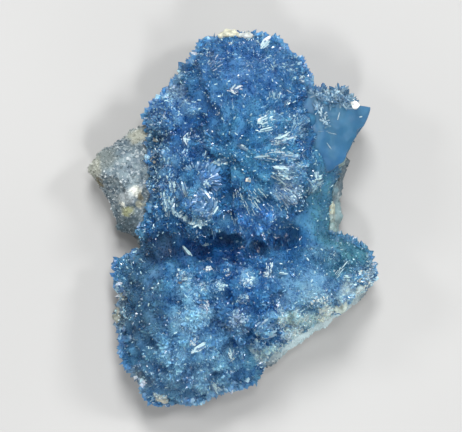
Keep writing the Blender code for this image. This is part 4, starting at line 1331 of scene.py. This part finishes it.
# The rounded knobs of rock
# Smooth rounded lumps of white, cream and grey-green rock stick out from under the crust: at the
# top of the crown, along the right side, on the broken edge, on the left corner and at the foot.
KNOB_BUMPS = (5.0, ((0.6, 0.24), (0.22, 0.14), (0.09, 0.05)))
KNOB_SUNK = 0.45
KNOB_ROUNDNESS = 4
Knob = namedtuple("Knob", "x y half_x half_y half_z turn colour")
KNOBS = [Knob(*row) for row in (
    # the top of the crown
    (-0.43, 14.95, 0.85, 0.45, 0.8, 5, (0.6, 0.6, 0.47)),
    (0.93, 14.85, 0.7, 0.34, 0.6, -8, (0.48, 0.52, 0.5)),
    (2.6, 14.15, 0.22, 0.55, 0.55, -35, (0.82, 0.86, 0.88)),
    # the corner of the plate and the right side
    (9.68, 9, 0.36, 0.26, 0.32, -35, (0.82, 0.84, 0.8)),
    (9.02, 4.35, 0.36, 0.45, 0.4, -20, (0.2, 0.28, 0.27)),
    (8.15, 2.3, 0.26, 0.9, 0.6, -6, (0.1, 0.17, 0.2)),
    (8.08, 0.72, 0.36, 0.66, 0.62, 15, (0.36, 0.4, 0.32)),
    (8.3, -0.1, 0.36, 0.6, 0.5, -10, (0.22, 0.29, 0.28)),
    (8.2, -1.1, 0.56, 0.95, 0.7, -5, (0.21, 0.31, 0.31)),
    # the left corner and the foot
    (-9, -6.33, 0.24, 0.32, 0.3, 0, (0.52, 0.57, 0.56)),
    (-9.25, -7.9, 0.42, 0.58, 0.45, 0, (0.22, 0.24, 0.21)),
    (-5.8, -14.65, 0.52, 0.22, 0.3, 0, (0.55, 0.56, 0.48)),
    # the broken edge
    (8.55, -7.15, 0.45, 0.66, 0.35, -25, (0.42, 0.5, 0.46)),
    (9.75, -5.95, 0.8, 0.45, 0.35, 42, (0.35, 0.44, 0.45)),
)]
knob_finish = Finish("host_rock_knobs", IOR=1.55, Subsurface_Weight=0.5,
                     Subsurface_Radius=(0.8, 0.9, 1.0), Subsurface_Scale=0.6 * MM)
mottle = knob_finish.span(knob_finish.grain(0.4, 4), 0.35, 0.65, 0.7, 1.25)
knob_finish.colour(knob_finish.vector("SCALE", knob_finish.own("tint", "Color"), mottle))
knob_finish.roughness(0.3, 0.3, 0.6)
knob_finish.bump(0.15, 4, 0.5, 0.05)
knob_meshes = []
for knob in KNOBS:
    ball = bmesh.new()
    bmesh.ops.create_icosphere(ball, subdivisions=KNOB_ROUNDNESS, radius=1)
    lump = bpy.data.meshes.new("knob")
    ball.to_mesh(lump)
    ball.free()
    x, y, z = (points_of(lump) * (knob.half_x, knob.half_y, knob.half_z)).T
    along_x, along_y = level_way(math.radians(knob.turn))
    place = plate_under(knob.x, knob.y)
    move_points(lump, np.column_stack((place[0] + x * along_x - y * along_y,
                                       place[1] + x * along_y + y * along_x,
                                       place[2] + z - KNOB_SUNK * knob.half_z)))
    move_points(lump, points_of(lump) + normals_of(lump) * lumps(points_of(lump), *KNOB_BUMPS)[:, None])
    hold_tint(lump, np.tile((*knob.colour, 1), (len(lump.vertices), 1)))
    knob_meshes.append(lump)
finished(gathered(knob_meshes), "host_rock_knobs", knob_finish, smooth=True)


# The crumbs of rock on the crust
# Loose grains of the white and cream rock, and a few specks of brown iron oxide, are caught between
# the crystals and on the broken edge.
ROCK_FROST = (0.62, 0.80, 0.86, 1)
CRUMB_BROWN = (0.08, 0.065, 0.04, 1)
CRUMB_LIFT = 0.08
CRUMB_SIZES = (0.5, 1.2)
CRUMB_TONES = (0.7, 1.2)
Crumbs = namedtuple("Crumbs", "x y half_x half_y count size tone")
CRUMBS = [Crumbs(*row) for row in (
    # the top of the crown
    (-0.2, 14.75, 0.9, 0.2, 24, 0.16, 1),
    # brown specks
    (-0.35, 13.75, 0.15, 0.12, 4, 0.26, 0.12),
    (-4.25, -5.35, 0.12, 0.14, 4, 0.24, 0.12),
    (-6.15, 6.3, 0.15, 0.2, 4, 0.2, 0.3),
    (-6.45, 4.55, 0.2, 0.3, 7, 0.2, 0.3),
    (-6.3, 2.1, 0.15, 0.3, 6, 0.2, 0.3),
    (1.2, 2.9, 0.15, 0.15, 4, 0.26, 0.6),
    # the left edge and the foot
    (-8.75, -6.3, 0.3, 0.4, 14, 0.18, 0.9),
    (-9.2, -7.9, 0.3, 0.5, 8, 0.14, 1),
    (-5.7, -14.5, 0.5, 0.3, 12, 0.18, 1),
    # the broken edge and beside it
    (7.45, -7.85, 0.75, 0.8, 120, 0.13, 1),
    (4.8, -8.3, 1.4, 0.9, 100, 0.11, 1),
    (4.9, -9.5, 0.9, 0.9, 80, 0.12, 1),
    (7, -6.7, 1, 0.4, 50, 0.11, 1),
    (3.2, -11, 1.2, 0.7, 40, 0.12, 0.9),
    (10.4, -5.3, 0.8, 1, 60, 0.12, 1),
)]
crumb_finish = Finish("host_rock_crumbs", IOR=1.55, Transmission_Weight=0.1)
crumb_colour = crumb_finish.mix(crumb_finish.each(), ROCK_PALE, ROCK_FROST)
crumb_finish.colour(crumb_finish.mix(crumb_finish.own("tone"), CRUMB_BROWN, crumb_colour))
crumb_finish.roughness(0.2, 0.2, 0.5)
crumb_finish.bump(0.08, 3, 0.4, 0.03)
heaps = []
for heap in CRUMBS:
    places = np.array((heap.x, heap.y)) + in_circle(heap.count) * (heap.half_x, heap.half_y)
    feet = np.array([spot + outward * CRUMB_LIFT
                     for spot, outward in (crust_under(*place) for place in places)])
    crumbs = grains(feet, heap.size * uniform(*CRUMB_SIZES, heap.count))
    hold(crumbs, "tone", for_each(crumbs, np.clip(heap.tone * uniform(*CRUMB_TONES, heap.count), 0, 1)))
    heaps.append(crumbs)
finished(gathered(heaps), "host_rock_crumbs", crumb_finish)


# The table that it lies on, the light and the camera
# The specimen lies on its flat back on a plain pale table, under soft studio lamps. It is seen
# from straight above through a long lens.
TABLE_HALF = 1.5
TABLE_DIM = (0.43, 0.43, 0.425, 1)
TABLE_PALE = (0.46, 0.46, 0.455, 1)
table_finish = Finish("pale_table", Roughness=0.7)
table_tone = table_finish.span(table_finish.grain(40.0, 2), 0.3, 0.7)
table_finish.colour(table_finish.mix(table_tone, TABLE_DIM, TABLE_PALE))
table_mesh = bpy.data.meshes.new("table")
table_mesh.from_pydata([(x * TABLE_HALF, y * TABLE_HALF, 0) for x, y in ((-1, -1), (1, -1), (1, 1), (-1, 1))],
                       [], [(0, 1, 2, 3)])
table_mesh.materials.append(table_finish.material)
table = placed("table", table_mesh)

LAMP_DISTANCE = 0.6
AMBIENT = 0.22
Lamp = namedtuple("Lamp", "name azimuth elevation size power")
LAMPS = [Lamp(*row) for row in (
    ("key", 0, 56, 0.16, 2.7),
    ("right", 70, 48, 0.1, 1.3),
    ("left", 285, 42, 0.1, 0.7),
    ("front", 170, 52, 0.1, 1.2),
    ("high", 20, 76, 0.1, 0.8),
)]
for lamp in LAMPS:
    light = bpy.data.lights.new(lamp.name, "AREA")
    light.size = lamp.size
    light.energy = lamp.power
    turn, lift = math.radians(lamp.azimuth), math.radians(lamp.elevation)
    way = Vector((math.sin(turn) * math.cos(lift), math.cos(turn) * math.cos(lift), math.sin(lift)))
    holder = placed(lamp.name, light)
    holder.location = way * LAMP_DISTANCE
    holder.rotation_euler = way.to_track_quat("Z", "Y").to_euler()

room = bpy.data.worlds.new("room")
room.use_nodes = True
room.node_tree.nodes["Background"].inputs["Color"].default_value = (1, 1, 1, 1)
room.node_tree.nodes["Background"].inputs["Strength"].default_value = AMBIENT
bpy.context.scene.world = room
bpy.context.scene.view_settings.view_transform = "Standard"

PICTURE_WIDTH = 462
PIXEL = 0.08 * MM
VIEW_CENTRE = Vector((-0.19, 0.08, 7.0)) * MM
CAMERA_DISTANCE = 0.6
SENSOR_WIDTH = 36
NEAREST = 0.01
lens = bpy.data.cameras.new("camera")
lens.sensor_width = SENSOR_WIDTH
lens.lens = SENSOR_WIDTH * CAMERA_DISTANCE / (PICTURE_WIDTH * PIXEL)
lens.clip_start = NEAREST
camera = placed("camera", lens)
camera.location = VIEW_CENTRE + Vector((0, 0, CAMERA_DISTANCE))
bpy.context.scene.camera = camera
